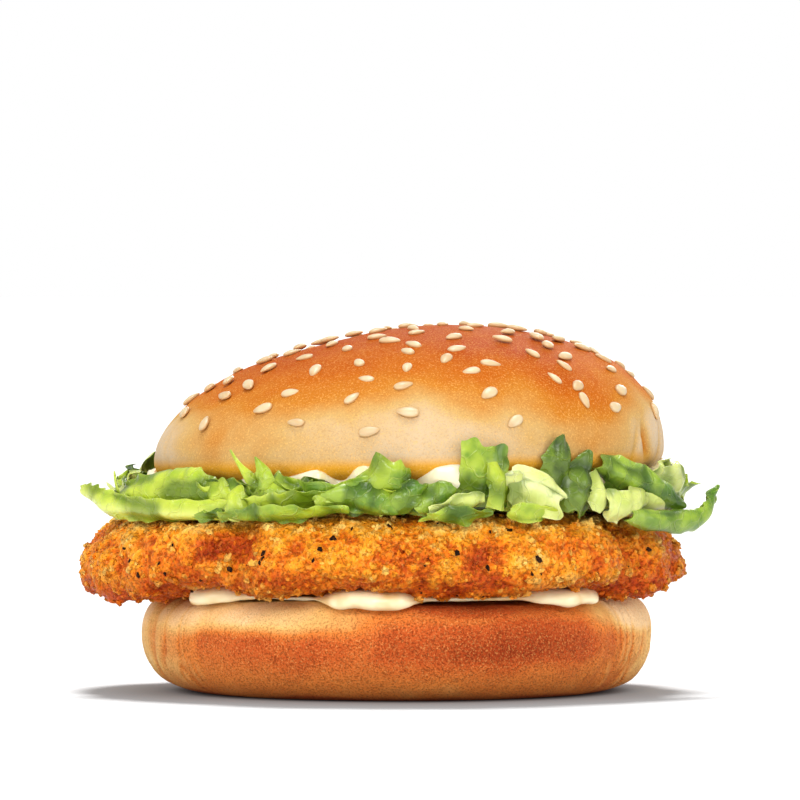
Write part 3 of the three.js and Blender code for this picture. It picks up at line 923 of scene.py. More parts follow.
@dataclass
class Crown:
    """The bun's upper half, slumped to the right, and its sesame seeds.

    Tilts are degrees. Creases are (bearing, half width in degrees, depth) of the folds pressed into its
    side. Pale sides are (bearing, half width, share) of the stretches that are baked less.
    """

    radius: float = 48.1
    height: float = 27.7
    base: float = 40.4
    waist: float = 3.6
    cut_radius: float = 44.2
    centre_x: float = 1.8
    lean: float = 7.5
    tilt_y: float = -1.3
    tilt_x: float = -0.7
    seed_count: int = 124
    seed_size: tuple[float, float, float] = (3.85, 2.15, 1.3)
    seed_reach: float = 0.975
    seed_lift: float = 0.28
    dent_depth: float = 0.45
    columns: int = 440
    creases: tuple = (
        (63.5, 0.9, 0.6), (70, 1.7, 1.5), (78.5, 1.1, 1.0), (-66, 1.0, 0.14), (-71, 1.2, 0.2),
        (-77, 1.0, 0.16), (-58, 0.9, 0.1), (142, 1.4, 0.5), (149, 1.0, 0.4), (-128, 1.2, 0.4),
    )
    pale_sides: tuple = ((8, 72, 1.0), (165, 55, 0.9), (-120, 40, 0.9))

    def settle(self, points: np.ndarray) -> np.ndarray:
        """Takes points of the upright crown to their place: slumped, tilted and lifted.

        Args:
            points: the points, with the middle of the cut face at the origin.

        Returns:
            The points in the burger.
        """
        bearing = np.arctan2(points[..., 0], -points[..., 1])
        share = np.maximum(points[..., 2], 0) / self.height
        uneven = 1 + 0.008 * np.sin(2 * bearing + math.radians(70)) + 0.005 * np.sin(5 * bearing)
        x = points[..., 0] * uneven + self.lean * share * share
        y = points[..., 1] * uneven
        z = points[..., 2]
        about_y, about_x = math.radians(self.tilt_y), math.radians(self.tilt_x)
        x, z = x * math.cos(about_y) + z * math.sin(about_y), z * math.cos(about_y) - x * math.sin(about_y)
        y, z = y * math.cos(about_x) - z * math.sin(about_x), y * math.sin(about_x) + z * math.cos(about_x)
        return np.stack([x + self.centre_x, y, z + self.base], axis=-1)

    def crust(self, bearing: np.ndarray, rise: np.ndarray) -> np.ndarray:
        """Where the smooth crust stands.

        Args:
            bearing: a bearing or an array of them.
            rise: degrees up the dome, from 0 at the widest ring to 90 at the top.

        Returns:
            The point or points.
        """
        angle = np.radians(rise)
        dome = self.height - self.waist
        return self.settle(polar(bearing, self.radius * np.cos(angle), self.waist + dome * np.sin(angle)))

    def profile(self) -> np.ndarray:
        """Draws half of the upright crown's outline.

        Returns:
            (radius, height) points from the middle of the cut face to the top.
        """
        cut = (self.cut_radius, 0)
        cut_handle = (self.cut_radius + 0.56 * (self.radius - self.cut_radius), 0)
        curl = bezier(cut, cut_handle, (self.radius, 0.45 * self.waist), (self.radius, self.waist), 18)
        face = [(share * self.cut_radius, 0) for share in (0, 0.3, 0.6, 0.85, 0.95, 1)]
        angle = np.radians(np.linspace(0, 90, 111)[1:])
        rise = self.waist + (self.height - self.waist) * np.sin(angle)
        dome = np.stack([self.radius * np.cos(angle), rise], 1)
        return np.concatenate([face, curl, dome])

    def pressed(self, bearing: np.ndarray, level: np.ndarray) -> np.ndarray:
        """How far the creases are pressed in.

        Args:
            bearing: the bearings of the crust's points.
            level: their heights as shares of the crown's height.

        Returns:
            A move of 0 or less at each point.
        """
        crease = np.zeros_like(level)
        for middle, half, depth in self.creases:
            bend = 2.6 * np.sin(level * 7 + 1.7 * middle)
            reach = smoothstep(level, 0.5, 0.2) * smoothstep(level, 0.0, 0.08)
            crease -= depth * hump(bearing + bend, middle, 2.2 * half) * reach
        return crease

    def build_crust(self, finish: bpy.types.Material) -> bpy.types.Object:
        """Makes the crust with its creases, dents and browning, with painted light and shade in it.

        Args:
            finish: its material.

        Returns:
            The piece.
        """
        profile = self.profile()
        bearing = np.linspace(0, 360, self.columns, endpoint=False)[None, :]
        upright = polar(bearing, profile[:, :1], profile[:, 1:])
        level = np.broadcast_to(profile[:, 1:] / self.height, upright.shape[:2])
        turned = Turned(self.settle(upright))
        crease = self.pressed(bearing, level) * (0.6 + 0.6 * Relief.lumps(turned.rings, 5, 26))
        dents = self.dent_depth * Relief.lumps(turned.rings, 19, 21) * smoothstep(level, 0.02, 0.2)
        grain = 0.09 * Relief.lumps(turned.rings, 4.5, 22) + 0.03 * Relief.lumps(turned.rings, 1.2, 23)
        made = turned.moved(crease + dents + grain * smoothstep(level, 0.0, 0.05))
        # Darker in the creases: painted shade.
        bake_and_painted_shading = self.bake_and_painted_shading(bearing, level, made.rings) - 0.42 * crease
        # The golden curled rim: partly its own golden colour, partly painted light in the shade under the
        # crown.
        golden_rim_and_painted_light = smoothstep(level, 0.17, 0.08) * (1 - 0.85 * hump(bearing, 84, 30))
        piece = made.piece("crown_crust", finish, bake_and_painted_shading=bake_and_painted_shading, golden_rim_and_painted_light=golden_rim_and_painted_light)
        return keep(piece, "crown_crust", "crown")

    def bake_and_painted_shading(self, bearing: np.ndarray, level: np.ndarray, rings: np.ndarray) -> np.ndarray:
        """How brown the crust is, with painted rim light that makes its two ends paler.

        Args:
            bearing: the bearings of the crust's points.
            level: their heights as shares of the crown's height.
            rings: the points themselves.

        Returns:
            A value from 0 for pale to 1 for brown at each point.
        """
        uneven = 0.09 * Relief.lumps(rings, 17, 24) + 0.04 * Relief.lumps(rings, 6, 25)
        tone = 0.24 + 0.72 * smoothstep(level + uneven, 0.3, 0.92)
        pale = np.max([share * hump(bearing, *place) for *place, share in self.pale_sides], axis=0)
        tone += 0.12 * (1 - pale) * smoothstep(level, 0.75, 0.35)
        tone += 0.16 * hump(bearing, 46, 32) * smoothstep(level, 0.95, 0.6) * smoothstep(level, 0.05, 0.25)
        tone -= 0.16 * pale * smoothstep(level + uneven, 0.5, 0.25)
        tone += 0.12 * hump(bearing, -60, 30) * smoothstep(level, 0.12, 0.3)
        # Paler at the two ends as seen from the front: painted rim light.
        ends = smoothstep(np.abs(np.sin(np.radians(bearing))), 0.74, 0.98)
        tone -= 0.38 * ends * smoothstep(level, 0.6, 0.3)
        return np.clip(tone, 0, 1)

    @staticmethod
    def seed_skin() -> tuple[np.ndarray, Faces, np.ndarray, np.ndarray]:
        """One seed of unit size lying along Y, pointed at +Y.

        Returns:
            Its points, its faces and each point's place from tail (0) to point (1) and from top (0) to
            rim (1).
        """
        rows, columns = 15, 14
        turn = np.linspace(0, np.pi, rows)[:, None]
        spin = np.linspace(0, 2 * np.pi, columns, endpoint=False)[None, :]
        length = np.broadcast_to(-np.cos(turn), (rows, columns))
        slim = np.sin(turn) ** 0.75 * (1 - 0.34 * np.maximum(length + 0.2, 0) ** 1.2)
        flat = np.where(np.sin(spin) > 0, 1.0, 0.8)
        across, upward = 0.5 * slim * np.cos(spin), 0.5 * slim * np.sin(spin) * flat
        grid = np.stack([across, 0.5 * length, upward], axis=-1)
        faces = [tuple(reversed(face)) for face in Turned(grid).faces()]
        side = 1 - np.sin(turn) * np.maximum(np.sin(spin), 0)
        return Turned.flat(grid), faces, Turned.flat(0.5 + 0.5 * length), Turned.flat(side)

    def seed_place(self, number: int) -> tuple[np.ndarray, np.ndarray, np.ndarray, np.ndarray]:
        """Lays one seed on the dome, in a golden spiral with some scatter.

        Args:
            number: the seed's number.

        Returns:
            Its place on the crust and its directions across, along and outward.
        """
        share = (number + 0.5) / self.seed_count
        reach = self.seed_reach * math.sqrt(share) + 0.03 * (draw(number, 1) - 0.5)
        rise = math.degrees(math.acos(min(reach, self.seed_reach)))
        bearing = number * GOLDEN_TURN + 16 * (draw(number, 2) - 0.5)
        place = self.crust(bearing, rise)
        beside = unit(self.crust(bearing + 0.5, rise) - place)
        upward = unit(self.crust(bearing, rise + 0.5) - place)
        outward = unit(np.cross(beside, upward))
        spin = 2 * math.pi * draw(number, 3)
        long = beside * math.cos(spin) + upward * math.sin(spin)
        wide = np.cross(long, outward)
        lift = 0.12 * (draw(number, 5) - 0.5)
        return place, wide, unit(long + lift * outward), unit(outward - lift * long)

    def build_seeds(self, finish: bpy.types.Material) -> bpy.types.Object:
        """Makes the seeds.

        Args:
            finish: their material.

        Returns:
            The piece.
        """
        points, faces, along, side = self.seed_skin()
        skin = Skin()
        for number in range(self.seed_count):
            place, wide, long, outward = self.seed_place(number)
            size = 0.86 + 0.26 * draw(number, 4)
            length, width, thick = (size * s for s in self.seed_size)
            width *= 0.9 + 0.25 * draw(number, 6)
            local = points * np.array([width, length, thick]) + np.array([0, 0, self.seed_lift * thick])
            spot = place + local[:, :1] * wide + local[:, 1:2] * long + local[:, 2:] * outward
            skin.add(spot, faces, along=along, side=side, tint=0.5 * draw(number, 7) ** 3)
        return keep(skin.piece("sesame_seeds", finish), "crown_crust")


@dataclass
class Sauce:
    """White sauce squeezed out in lobes: (bearing, half width, size) each."""

    lobes: tuple
    radius: float = 42.5
    lobe: float = 6.6
    edge_radius: float = 45.0
    columns: int = 300

    def squeezed(self, bearing: np.ndarray) -> np.ndarray:
        """How far the sauce is squeezed out at bearings, from 0 to 1."""
        humps = [(size, hump(bearing, middle, half)) for middle, half, size in self.lobes]
        return np.max([size * smoothstep(rise, 0.0, 0.85) for size, rise in humps], axis=0)

    @staticmethod
    def section() -> np.ndarray:
        """Draws half of a section through the sauce.

        Returns:
            (share of the reach, level) points from the middle of the underside to that of the top.
        """
        lower = bezier((0.88, 0), (0.97, 0), (1, 0.15), (1, 0.45), 12)
        upper = bezier((1, 0.45), (1, 0.82), (0.97, 1), (0.88, 1), 12)
        below = [(share, 0) for share in (0, 0.4, 0.7, 0.82, 0.88)]
        above = [(share, 1) for share in (0.8, 0.6, 0.3, 0)]
        return np.concatenate([below, lower, upper, above])

    def grid(self) -> tuple[np.ndarray, np.ndarray, np.ndarray]:
        """Spreads the section all round, with an uneven edge.

        Returns:
            Bearings, distances from the axis and levels of the sauce's rings.
        """
        section = self.section()
        bearing = np.linspace(0, 360, self.columns, endpoint=False)[None, :]
        edge = polar(bearing, self.edge_radius, 0.0)
        wobble = 0.18 * Relief.lumps(edge, 6, 31) + 0.1 * Relief.lumps(edge, 2.6, 34)
        reach = section[:, :1] * (self.radius + self.lobe * np.clip(self.squeezed(bearing) + wobble, 0, 1))
        return np.broadcast_to(bearing, reach.shape), reach, np.broadcast_to(section[:, 1:], reach.shape)

    @staticmethod
    def piece(name: str, rings: np.ndarray, finish: bpy.types.Material, node: str) -> bpy.types.Object:
        """Makes the mesh from its rings, with soft ripples.

        Args:
            name: the piece's name.
            rings: its rings of points.
            finish: its material.
            node: the solid that it stands for.

        Returns:
            The piece.
        """
        turned = Turned(rings).smoothed(3)
        ripple = 0.25 * Relief.lumps(turned.rings, 2.8, 32) + 0.35 * Relief.lumps(turned.rings, 6, 33)
        return keep(turned.moved(ripple).piece(name, finish), "sauce", node)


# Pepper that shows in front, as (place across, height, size).
FRONT_PEPPER = (
    (-48, 22.9, 0.45), (-44.1, 25.3, 0.35), (-43, 23.3, 0.4), (-41.7, 28.6, 0.55), (-36.2, 22.3, 0.4),
    (-34.7, 30.7, 0.3), (-31, 24.3, 0.8), (-25.2, 25.7, 0.5), (-24.8, 27.9, 0.7), (-22.4, 30.3, 0.35),
    (-15.7, 26.4, 0.55), (-14.2, 28.3, 0.9), (-11.9, 30.8, 0.75), (-1.6, 32.4, 0.6), (5.5, 26.8, 0.3),
    (10.6, 27.7, 0.8), (16.2, 25, 0.55), (17, 31.6, 0.4), (20.4, 31.8, 0.6), (20.6, 29, 0.3),
    (24.8, 23.7, 0.45), (25.7, 26.4, 0.65), (46.7, 27.2, 0.6),
)


@cache
def ball_skin(subdivisions: int) -> tuple[np.ndarray, Faces]:
    """A ball of radius 1 made of triangles.

    Args:
        subdivisions: how fine it is.

    Returns:
        Its points and faces.
    """
    mesh = bpy.data.meshes.new("ball")
    shape = bmesh.new()
    bmesh.ops.create_icosphere(shape, subdivisions=subdivisions, radius=1.0)
    shape.to_mesh(mesh)
    shape.free()
    points = np.array([vertex.co[:] for vertex in mesh.vertices])
    faces = [tuple(polygon.vertices) for polygon in mesh.polygons]
    bpy.data.meshes.remove(mesh)
    return points, faces


class Bit(Enum):
    """Kinds of loose bit: how fine a ball each is made from, and how uneven it is."""

    CRUMB = (2, 0.8)
    CHIP = (1, 1.2)

    def lump(self, rng: np.random.Generator) -> tuple[np.ndarray, Faces]:
        """One irregular bit of unit size.

        Args:
            rng: the draw.

        Returns:
            Its points and faces.
        """
        subdivisions, uneven = self.value
        points, faces = ball_skin(subdivisions)
        return points * (1 + uneven * (rng.random((len(points), 1)) - 0.5)), faces


@dataclass
class Patty:
    """The breaded chicken patty with its loose crumbs and pepper.

    Notches are (bearing, half width, depth) of the bays in its edge. The last four values are worked out
    by shape: the crust's points, the way each faces, how high it stands, which paints its hollows darker
    and its crags lighter, and how brown it is, which holds painted shade and light as well as browning.
    """

    radius_x: float = 56.6
    radius_y: float = 51.0
    centre_x: float = -2.8
    bottom: float = 20.2
    top: float = 34.7
    edge: float = 9.0
    hang: float = 1.0
    lobe: float = 2.4
    notches: tuple = ((-33, 9, 3.0), (59, 9, 3.2), (132, 12, 3.0), (-128, 11, 2.6))
    columns: int = 780
    smoothing: int = 10
    bits_from: float = 0.78
    bit_lift: float = 0.18
    crumb_count: int = 2300
    crumb_seed: int = 71
    pepper_count: int = 70
    pepper_seed: int = 81
    rings: np.ndarray = field(init=False, repr=False)
    normals: np.ndarray = field(init=False, repr=False)
    height: np.ndarray = field(init=False, repr=False)
    brown: np.ndarray = field(init=False, repr=False)

    def reach(self, bearing: np.ndarray) -> np.ndarray:
        """The patty's reach from its own middle.

        Args:
            bearing: bearings from -180 to 180.

        Returns:
            The reach at each bearing.
        """
        angle = np.radians(bearing)
        oval = 1 / np.hypot(np.sin(angle) / self.radius_x, np.cos(angle) / self.radius_y)
        front_lobe = self.lobe * smoothstep(bearing, -34, -25) * (1 - smoothstep(bearing, 50, 60))
        return oval + front_lobe - sum(depth * hump(bearing, *place) for *place, depth in self.notches)

    @staticmethod
    def drop(share: np.ndarray, bearing: np.ndarray) -> np.ndarray:
        """How far the patty's top hangs at a share of its reach."""
        ends = np.abs(np.sin(np.radians(bearing))) ** 3
        return share**4 * (0.6 + 3.2 * ends)

    @staticmethod
    def section() -> np.ndarray:
        """Draws half of a section, finest on the edge that shows.

        Returns:
            (share of the reach, level) points from the middle of the underside to that of the top.
        """
        below = [(share, 0) for share in (0, 0.3, 0.55, 0.68, *np.linspace(0.74, 0.84, 12))]
        lower = bezier((0.84, 0), (0.95, 0), (1, 0.2), (1, 0.47), 28)
        upper = bezier((1, 0.47), (1, 0.78), (0.92, 1), (0.8, 1), 32)
        above = [(share, 1) for share in (*np.linspace(0.79, 0.7, 10), 0.62, 0.5, 0.3, 0)]
        return np.concatenate([below, lower, upper, above])

    def wrap(self) -> Turned:
        """Wraps the solid patty, found by looking out from its core.

        Returns:
            A fine smooth skin over it.
        """
        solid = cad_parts["patty"]
        tree = BVHTree.FromObject(solid, bpy.context.evaluated_depsgraph_get())
        section = self.section()
        bearing = np.linspace(-180, 180, self.columns, endpoint=False)[None, :]
        share, level = section[:, :1], section[:, 1:]
        reach = self.reach(bearing)
        top = self.top - self.drop(share, bearing)
        bottom = self.bottom - self.hang - 0.5 * self.drop(share, bearing)
        aim = polar(bearing, share * reach, bottom + (top - bottom) * level)
        core = polar(bearing, np.minimum(share * reach, reach - self.edge), (bottom + top) / 2)
        shift = np.array([self.centre_x, 0, 0])
        starts = (core + shift).reshape(-1, 3) * MM
        ways = unit(aim - core).reshape(-1, 3)
        found = (aim + shift).reshape(-1, 3)
        for i, (start, way) in enumerate(zip(starts.tolist(), ways.tolist())):
            hit = tree.ray_cast(Vector(start), Vector(way))[0]
            if hit is not None:
                found[i] = np.array(hit) / MM
        return Turned(found.reshape(aim.shape)).smoothed(self.smoothing)

    @staticmethod
    def crags(smooth: np.ndarray, even: np.ndarray) -> np.ndarray:
        """How far the breading stands out in lumps, clusters, crumbs and grains.

        Args:
            smooth: the smooth skin's points.
            even: where the breading is finer, from 0 to 1.

        Returns:
            A move along the skin's own direction at each point.
        """
        lumps = 0.55 * Relief.lumps(smooth, 6.5, 42) + 0.4 * Relief.lumps(smooth, 3.2, 43)
        large, large_draw = Relief.granules(smooth, 3.4, 44)
        mid, mid_draw = Relief.granules(smooth, 1.75, 54)
        small, small_draw = Relief.granules(smooth, 0.95, 64)
        clusters = 1.1 * np.sqrt(large) * (0.2 + 0.8 * large_draw)
        crumbs = 1.15 * np.sqrt(mid) * (0.15 + 0.85 * mid_draw) * (1 - 0.55 * even)
        grains = 0.45 * np.sqrt(small) * (0.2 + 0.8 * small_draw) * (1 - 0.3 * even)
        return lumps + clusters + crumbs + grains - 1.15

    def shape(self) -> None:
        """Works out the craggy crust, how high each point stands and how brown it is, with painted shade
        and light.
        """
        turned = self.wrap()
        smooth, normals = turned.rings, turned.normals()
        bearing = bearings(smooth)
        rough = smoothstep(self.section()[:, 0], 0.55, 0.8)[:, None]
        even = smoothstep(Relief.lumps(smooth, 11, 41), 0.1, 0.6)
        even = np.maximum(even, 0.85 * np.maximum(hump(bearing, -56, 22), hump(bearing, 20, 20)))
        moves = self.crags(smooth, even) * rough
        hanging = 1.8 * hump(bearing, -62, 14) + 1.4 * hump(bearing, 66, 14)
        smooth[..., 2] -= hanging * smoothstep(smooth[..., 2], 28, 21) * rough
        self.rings = smooth + normals * moves[..., None]
        self.normals = Turned(self.rings).normals()
        # Painted light: the top edge, in shade under the lettuce, is made lighter in both values.
        upper = smoothstep(smooth[..., 2], 29.5, 33.0)
        self.height = np.clip(0.47 + 0.3 * (moves + 0.15) + 0.12 * even + 0.2 * upper, 0, 1)
        # Painted shade: browner at the right end, less at the left, along the underside and in the deep
        # hollows; browner in the notches; the patches are the breading's own uneven browning.
        ends = 0.8 * hump(bearing, 80, 24) + 0.2 * hump(bearing, -88, 20)
        notches = 0.7 * hump(bearing, -34, 8) + 0.75 * hump(bearing, 59, 8) + 0.5 * hump(bearing, 132, 12)
        low = smoothstep(self.rings[..., 2], 26, 19.5)
        patches = 0.45 * smoothstep(Relief.lumps(smooth, 8, 47), 0.15, 0.75)
        deep = smoothstep(moves, -0.1, -0.9)
        self.brown = np.clip(ends + notches * 0.7 + 0.9 * low + patches + 0.6 * deep - 0.4 * upper, 0, 1)

    def build_crust(self, finish: bpy.types.Material) -> bpy.types.Object:
        """Makes the crust.

        Args:
            finish: its material.

        Returns:
            The piece.
        """
        self.shape()
        piece = Turned(self.rings).piece("patty_crust", finish, height=self.height, brown=self.brown)
        return keep(piece, "breading", "patty")

    def spots(self, count: int, seed: int, high: float) -> list[tuple[int, int]]:
        """Picks places for loose bits on the edge that shows.

        Args:
            count: how many.
            seed: which draw.
            high: how much the crags that stand out are preferred, from 0 to 1.

        Returns:
            The places, as (row, column) of the crust's rings.
        """
        rng = np.random.default_rng(seed)
        share = self.section()[:, 0]
        steps = np.linalg.norm(np.gradient(self.rings, axis=0), axis=-1)
        weight = steps * (share > self.bits_from)[:, None] * ((1 - high) + high * self.height**2)
        picks = rng.choice(weight.size, size=count, replace=False, p=(weight / weight.sum()).ravel())
        return [divmod(int(pick), self.columns) for pick in picks]

    def scatter(
        self, skin: Skin, rng: np.random.Generator, spot: tuple[int, int], sizes: np.ndarray, bit: Bit
    ) -> None:
        """Lays one loose bit on the crust.

        Args:
            skin: what it is added to.
            rng: the draw.
            spot: its row and column in the crust's rings.
            sizes: its three sizes.
            bit: its kind.
        """
        normal = self.normals[spot]
        side = unit(np.cross(normal, rng.normal(size=3)))
        third = np.cross(normal, side)
        points, faces = bit.lump(rng)
        local = points * sizes
        place = self.rings[spot] + normal * self.bit_lift * sizes[2]
        moved = place + local[:, :1] * side + local[:, 1:2] * third + local[:, 2:] * normal
        # Loose bits take the crust's painted light and shade, a little lighter as they stand out.
        height = np.clip(self.height[spot] + 0.1 + 0.3 * (rng.random() - 0.4), 0, 1)
        skin.add(moved, faces, height=height, brown=0.7 * self.brown[spot])

    def build_crumbs(self, finish: bpy.types.Material) -> bpy.types.Object:
        """Makes the loose crumbs and flakes of breading.

        Args:
            finish: their material.

        Returns:
            The piece.
        """
        rng = np.random.default_rng(self.crumb_seed)
        skin = Skin()
        for spot in self.spots(self.crumb_count, self.crumb_seed + 1, 0.8):
            size = 0.28 + 0.5 * rng.random() ** 2.5
            sizes = size * np.array([1 + 0.5 * rng.random(), 1.0, 0.55 + 0.4 * rng.random()])
            self.scatter(skin, rng, spot, sizes, Bit.CRUMB)
        return keep(skin.piece("loose_crumbs", finish, sharp=35.0), "breading")

    def build_pepper(self, finish: bpy.types.Material) -> bpy.types.Object:
        """Makes the pepper specks pressed into the crust.

        Args:
            finish: their material.

        Returns:
            The piece.
        """
        rng = np.random.default_rng(self.pepper_seed)
        skin = Skin()
        places = self.spots(self.pepper_count, self.pepper_seed + 1, 0.2)
        flakes = [(spot, 0.2 + 0.34 * rng.random() ** 2) for spot in places]
        front_until, far = -10, 1e6
        out_of_sight = np.where(self.rings[..., 1] < front_until, 0, far)
        for across, high, size in FRONT_PEPPER:
            away = np.hypot(self.rings[..., 0] - across, self.rings[..., 2] - high) + out_of_sight
            flakes.append((np.unravel_index(int(np.argmin(away)), away.shape), size))
        for spot, size in flakes:
            sizes = size * np.array([0.9 + 0.5 * rng.random(), 0.5 + 0.45 * rng.random(), 0.6])
            self.scatter(skin, rng, spot, sizes, Bit.CHIP)
        return keep(skin.piece("pepper_specks", finish, sharp=40.0), "breading")


@dataclass(frozen=True)
class Leaf:
    """A cut leaf or shred along a spine of (bearing, radius, height) points.

    With no roll its face looks outwards, and a positive roll leans its upper edge out. Ends are the
    widths of its two ends as shares of the full width, and point narrows it towards the far one. Curl
    bends it across, fold creases it along its spine, ruffle waves its edges and crumple folds its face.
    Rib is where its rib runs across it, from -1 to 1, and rib size how much thicker it is there. Pale end
    is how pale its start is. Teeth are (place along it from 0 to 1, height, half width) of points torn
    from its upper edge.
    """

    spine: tuple
    width: float
    tone: LeafTone
    ends: tuple[float, float] = (0.5, 0.5)
    roll: float = 0.0
    curl: float = 0.4
    ruffle: float = 0.5
    thick: float = 0.32
    rib: float = 0.0
    rib_size: float = 0.0
    crumple: float = 0.62
    pale_end: float = 0.25
    point: float = 0.0
    fold: float = 0.0
    teeth: tuple = ()

    ROW_STEP = 0.45
    COLUMN_STEP = 0.42
    EDGES_APART = 5.0
    FOLDS_APART = 13.7
    VEINS_APART = 31.0

    def spine_at(self, u: np.ndarray) -> np.ndarray:
        """Points along the smooth curve through the spine.

        Args:
            u: places along it from 0 to 1.

        Returns:
            A point for each place.
        """
        knots = np.array([polar(*place) for place in self.spine])
        padded = np.concatenate([[2 * knots[0] - knots[1]], knots, [2 * knots[-1] - knots[-2]]])
        place = u * (len(knots) - 1)
        step = np.minimum(place.astype(int), len(knots) - 2)
        t = (place - step)[:, None]
        a, b, c, d = (padded[step + k] for k in range(4))
        square, cube = 2 * a - 5 * b + 4 * c - d, 3 * b - a - 3 * c + d
        return 0.5 * (2 * b + (c - a) * t + square * t**2 + cube * t**3)

    def directions(self, u: np.ndarray) -> tuple[np.ndarray, np.ndarray, np.ndarray, np.ndarray]:
        """Which way the leaf runs and faces.

        Args:
            u: places along it from 0 to 1.

        Returns:
            Points of the spine, and the directions along the leaf, across it and out of its face.
        """
        middle = self.spine_at(u)
        tangent = unit(np.gradient(middle, axis=0))
        outward = unit(middle * np.array([1, 1, 0])) + np.array([0, 0, 0.15])
        outward = unit(outward - tangent * np.sum(outward * tangent, axis=1, keepdims=True))
        upper = np.cross(outward, tangent)
        wide = upper * math.cos(math.radians(self.roll)) + outward * math.sin(math.radians(self.roll))
        return middle, tangent, wide, np.cross(tangent, wide)

    def half_width(self, u: np.ndarray) -> np.ndarray:
        """Half of the leaf's width at places along it."""
        end = self.ends[0] + (self.ends[1] - self.ends[0]) * u
        return 0.5 * self.width * (end + (1 - end) * (4 * u * (1 - u)) ** 0.7) * (1 - self.point * u)

    def torn(self, u: np.ndarray) -> np.ndarray:
        """How far the torn points stand up at places along the upper edge.

        Args:
            u: places along the leaf from 0 to 1.

        Returns:
            A height for each place.
        """
        tall = np.zeros_like(u)
        for place, height, half_tooth in self.teeth:
            tall = tall + height * np.maximum(0, 1 - np.abs(u - place) / half_tooth) ** 1.4
        return tall

    @staticmethod
    def folds(spot: np.ndarray) -> np.ndarray:
        """The pleats, creases and blisters of a leaf's face.

        Args:
            spot: the leaf's own coordinates, with its number's pattern in the third.

        Returns:
            How far each point stands out, before the leaf's crumple.
        """
        pleats = np.abs(Relief.lumps(spot * np.array([0.4, 1, 1]), 3.6, 92)) - 0.3
        creases = np.abs(Relief.lumps(spot, 5.5, 97)) - 0.3
        return 2.0 * pleats + 1.6 * creases + 0.3 * Relief.lumps(spot, 2.0, 93)

    def middle_sheet(self, index: int) -> tuple[np.ndarray, np.ndarray, np.ndarray, np.ndarray]:
        """The leaf's middle surface.

        Args:
            index: the leaf's number, which picks its crumples.

        Returns:
            A grid of points, the distances along it and across it from its rib, and how deep each point
            lies in the folds of its outer face, from 0 to 1, for painted shade.
        """
        length = np.linalg.norm(np.diff(self.spine_at(np.linspace(0, 1, 9)), axis=0), axis=1).sum()
        rows = int(np.clip(length / self.ROW_STEP, 14, 64))
        columns = int(np.clip(self.width / self.COLUMN_STEP, 8, 28))
        u = np.linspace(0, 1, rows + 1)
        v = np.linspace(-1, 1, columns + 1)[None, :]
        middle, tangent, wide, facing = self.directions(u)
        half = self.half_width(u)[:, None]
        across = half * v
        along = np.broadcast_to((length * u)[:, None], across.shape)
        spot = np.stack([along, across, np.full_like(across, self.FOLDS_APART * index)], axis=-1)
        beside = spot * np.array([1, 0, 1]) + np.sign(v)[..., None] * self.EDGES_APART
        ragged = 0.13 * Relief.lumps(beside, 3.4, 91) + 0.08 * Relief.lumps(beside, 1.3, 96)
        arc = self.curl * v
        radius = half / self.curl
        sideways = radius * np.sin(arc) * (1 + ragged * v**2)
        sideways = sideways + self.torn(u)[:, None] * np.maximum(v, 0) ** 3
        wave = self.ruffle * v**2 * np.sin(9 * u[:, None] + 2.2 * v + self.width)
        wave = wave + 0.7 * self.ruffle * np.abs(v) ** 3 * np.sin(1.5 * along + 2.0 * v + index)
        folds = self.folds(spot)
        crease = self.fold * np.sqrt(across**2 + 0.05)
        bend = radius * (np.cos(arc) - 1) + wave + self.crumple * folds - crease
        cut = 1.5 * Relief.lumps(spot * np.array([0, 1, 1]), 1.9, 94) * (2 * u[:, None] - 1) ** 4
        points = middle[:, None] + wide[:, None] * sideways[..., None] + facing[:, None] * bend[..., None]
        points = points + tangent[:, None] * cut[..., None]
        return points, along, across - 0.5 * self.width * self.rib, smoothstep(folds, 0.45, -0.75)

    @staticmethod
    def sheet_faces(rows: int, columns: int) -> Faces:
        """Joins two equal grids of points, a front and a back, into a thin closed sheet.

        Args:
            rows: the rows of each grid.
            columns: the columns of each grid.

        Returns:
            The faces, with the back's points numbered after the front's.
        """
        number = np.arange(rows * columns).reshape(rows, columns)
        a, b, c, d = number[:-1, :-1], number[1:, :-1], number[1:, 1:], number[:-1, 1:]
        quads = np.stack([a, b, c, d], axis=-1).reshape(-1, 4)
        shift = rows * columns
        rim = np.concatenate([number[:-1, 0], number[-1, :-1], number[:0:-1, -1], number[0, :0:-1]])
        after = np.roll(rim, -1)
        walls = np.stack([rim, rim + shift, after + shift, after], axis=-1)
        return list(map(tuple, np.concatenate([quads, quads[:, ::-1] + shift, walls]).tolist()))

    def add_to(self, skin: Skin, index: int) -> None:
        """Adds the leaf to a skin as a thin closed sheet, thicker along its rib.

        Args:
            skin: what it is added to.
            index: the leaf's number.
        """
        points, along, across, painted_shade_mask = self.middle_sheet(index)
        rows, columns = points.shape[:2]
        normals = unit(np.cross(np.gradient(points, axis=0), np.gradient(points, axis=1)))
        from_spine = np.abs(np.linspace(-1, 1, columns))[None, :]
        rib = self.rib_size * np.exp(-((across / (0.16 * self.width)) ** 2))
        edge = np.minimum(1, 2.2 * (1 - from_spine) + 0.25)
        half = 0.5 * (self.thick * edge + rib)[..., None]
        sides = [(points + normals * half).reshape(-1, 3), (points - normals * half).reshape(-1, 3)]
        start = np.exp(-along / (0.35 * along.max() + 1e-6)) * self.pale_end
        thin_edge = 0.22 * smoothstep(from_spine, 0.8, 1.0)
        on_rib = 0.75 * rib / max(self.rib_size, 1e-6) * (self.rib_size > 0)
        pale = np.clip(start + thin_edge + on_rib, 0, 1)
        values = {"leaf_x": along + self.VEINS_APART * index, "leaf_y": across, "pale": pale}
        both = {name: np.concatenate([value.ravel()] * 2) for name, value in values.items()}
        # Painted shade in the folds, the other way round on the back face.
        both["painted_shade_mask"] = np.concatenate([painted_shade_mask.ravel(), 1 - painted_shade_mask.ravel()])
        skin.add(np.concatenate(sides), self.sheet_faces(rows, columns), **both)


PALE, LIGHT, BRIGHT, MID, DARK = LeafTone

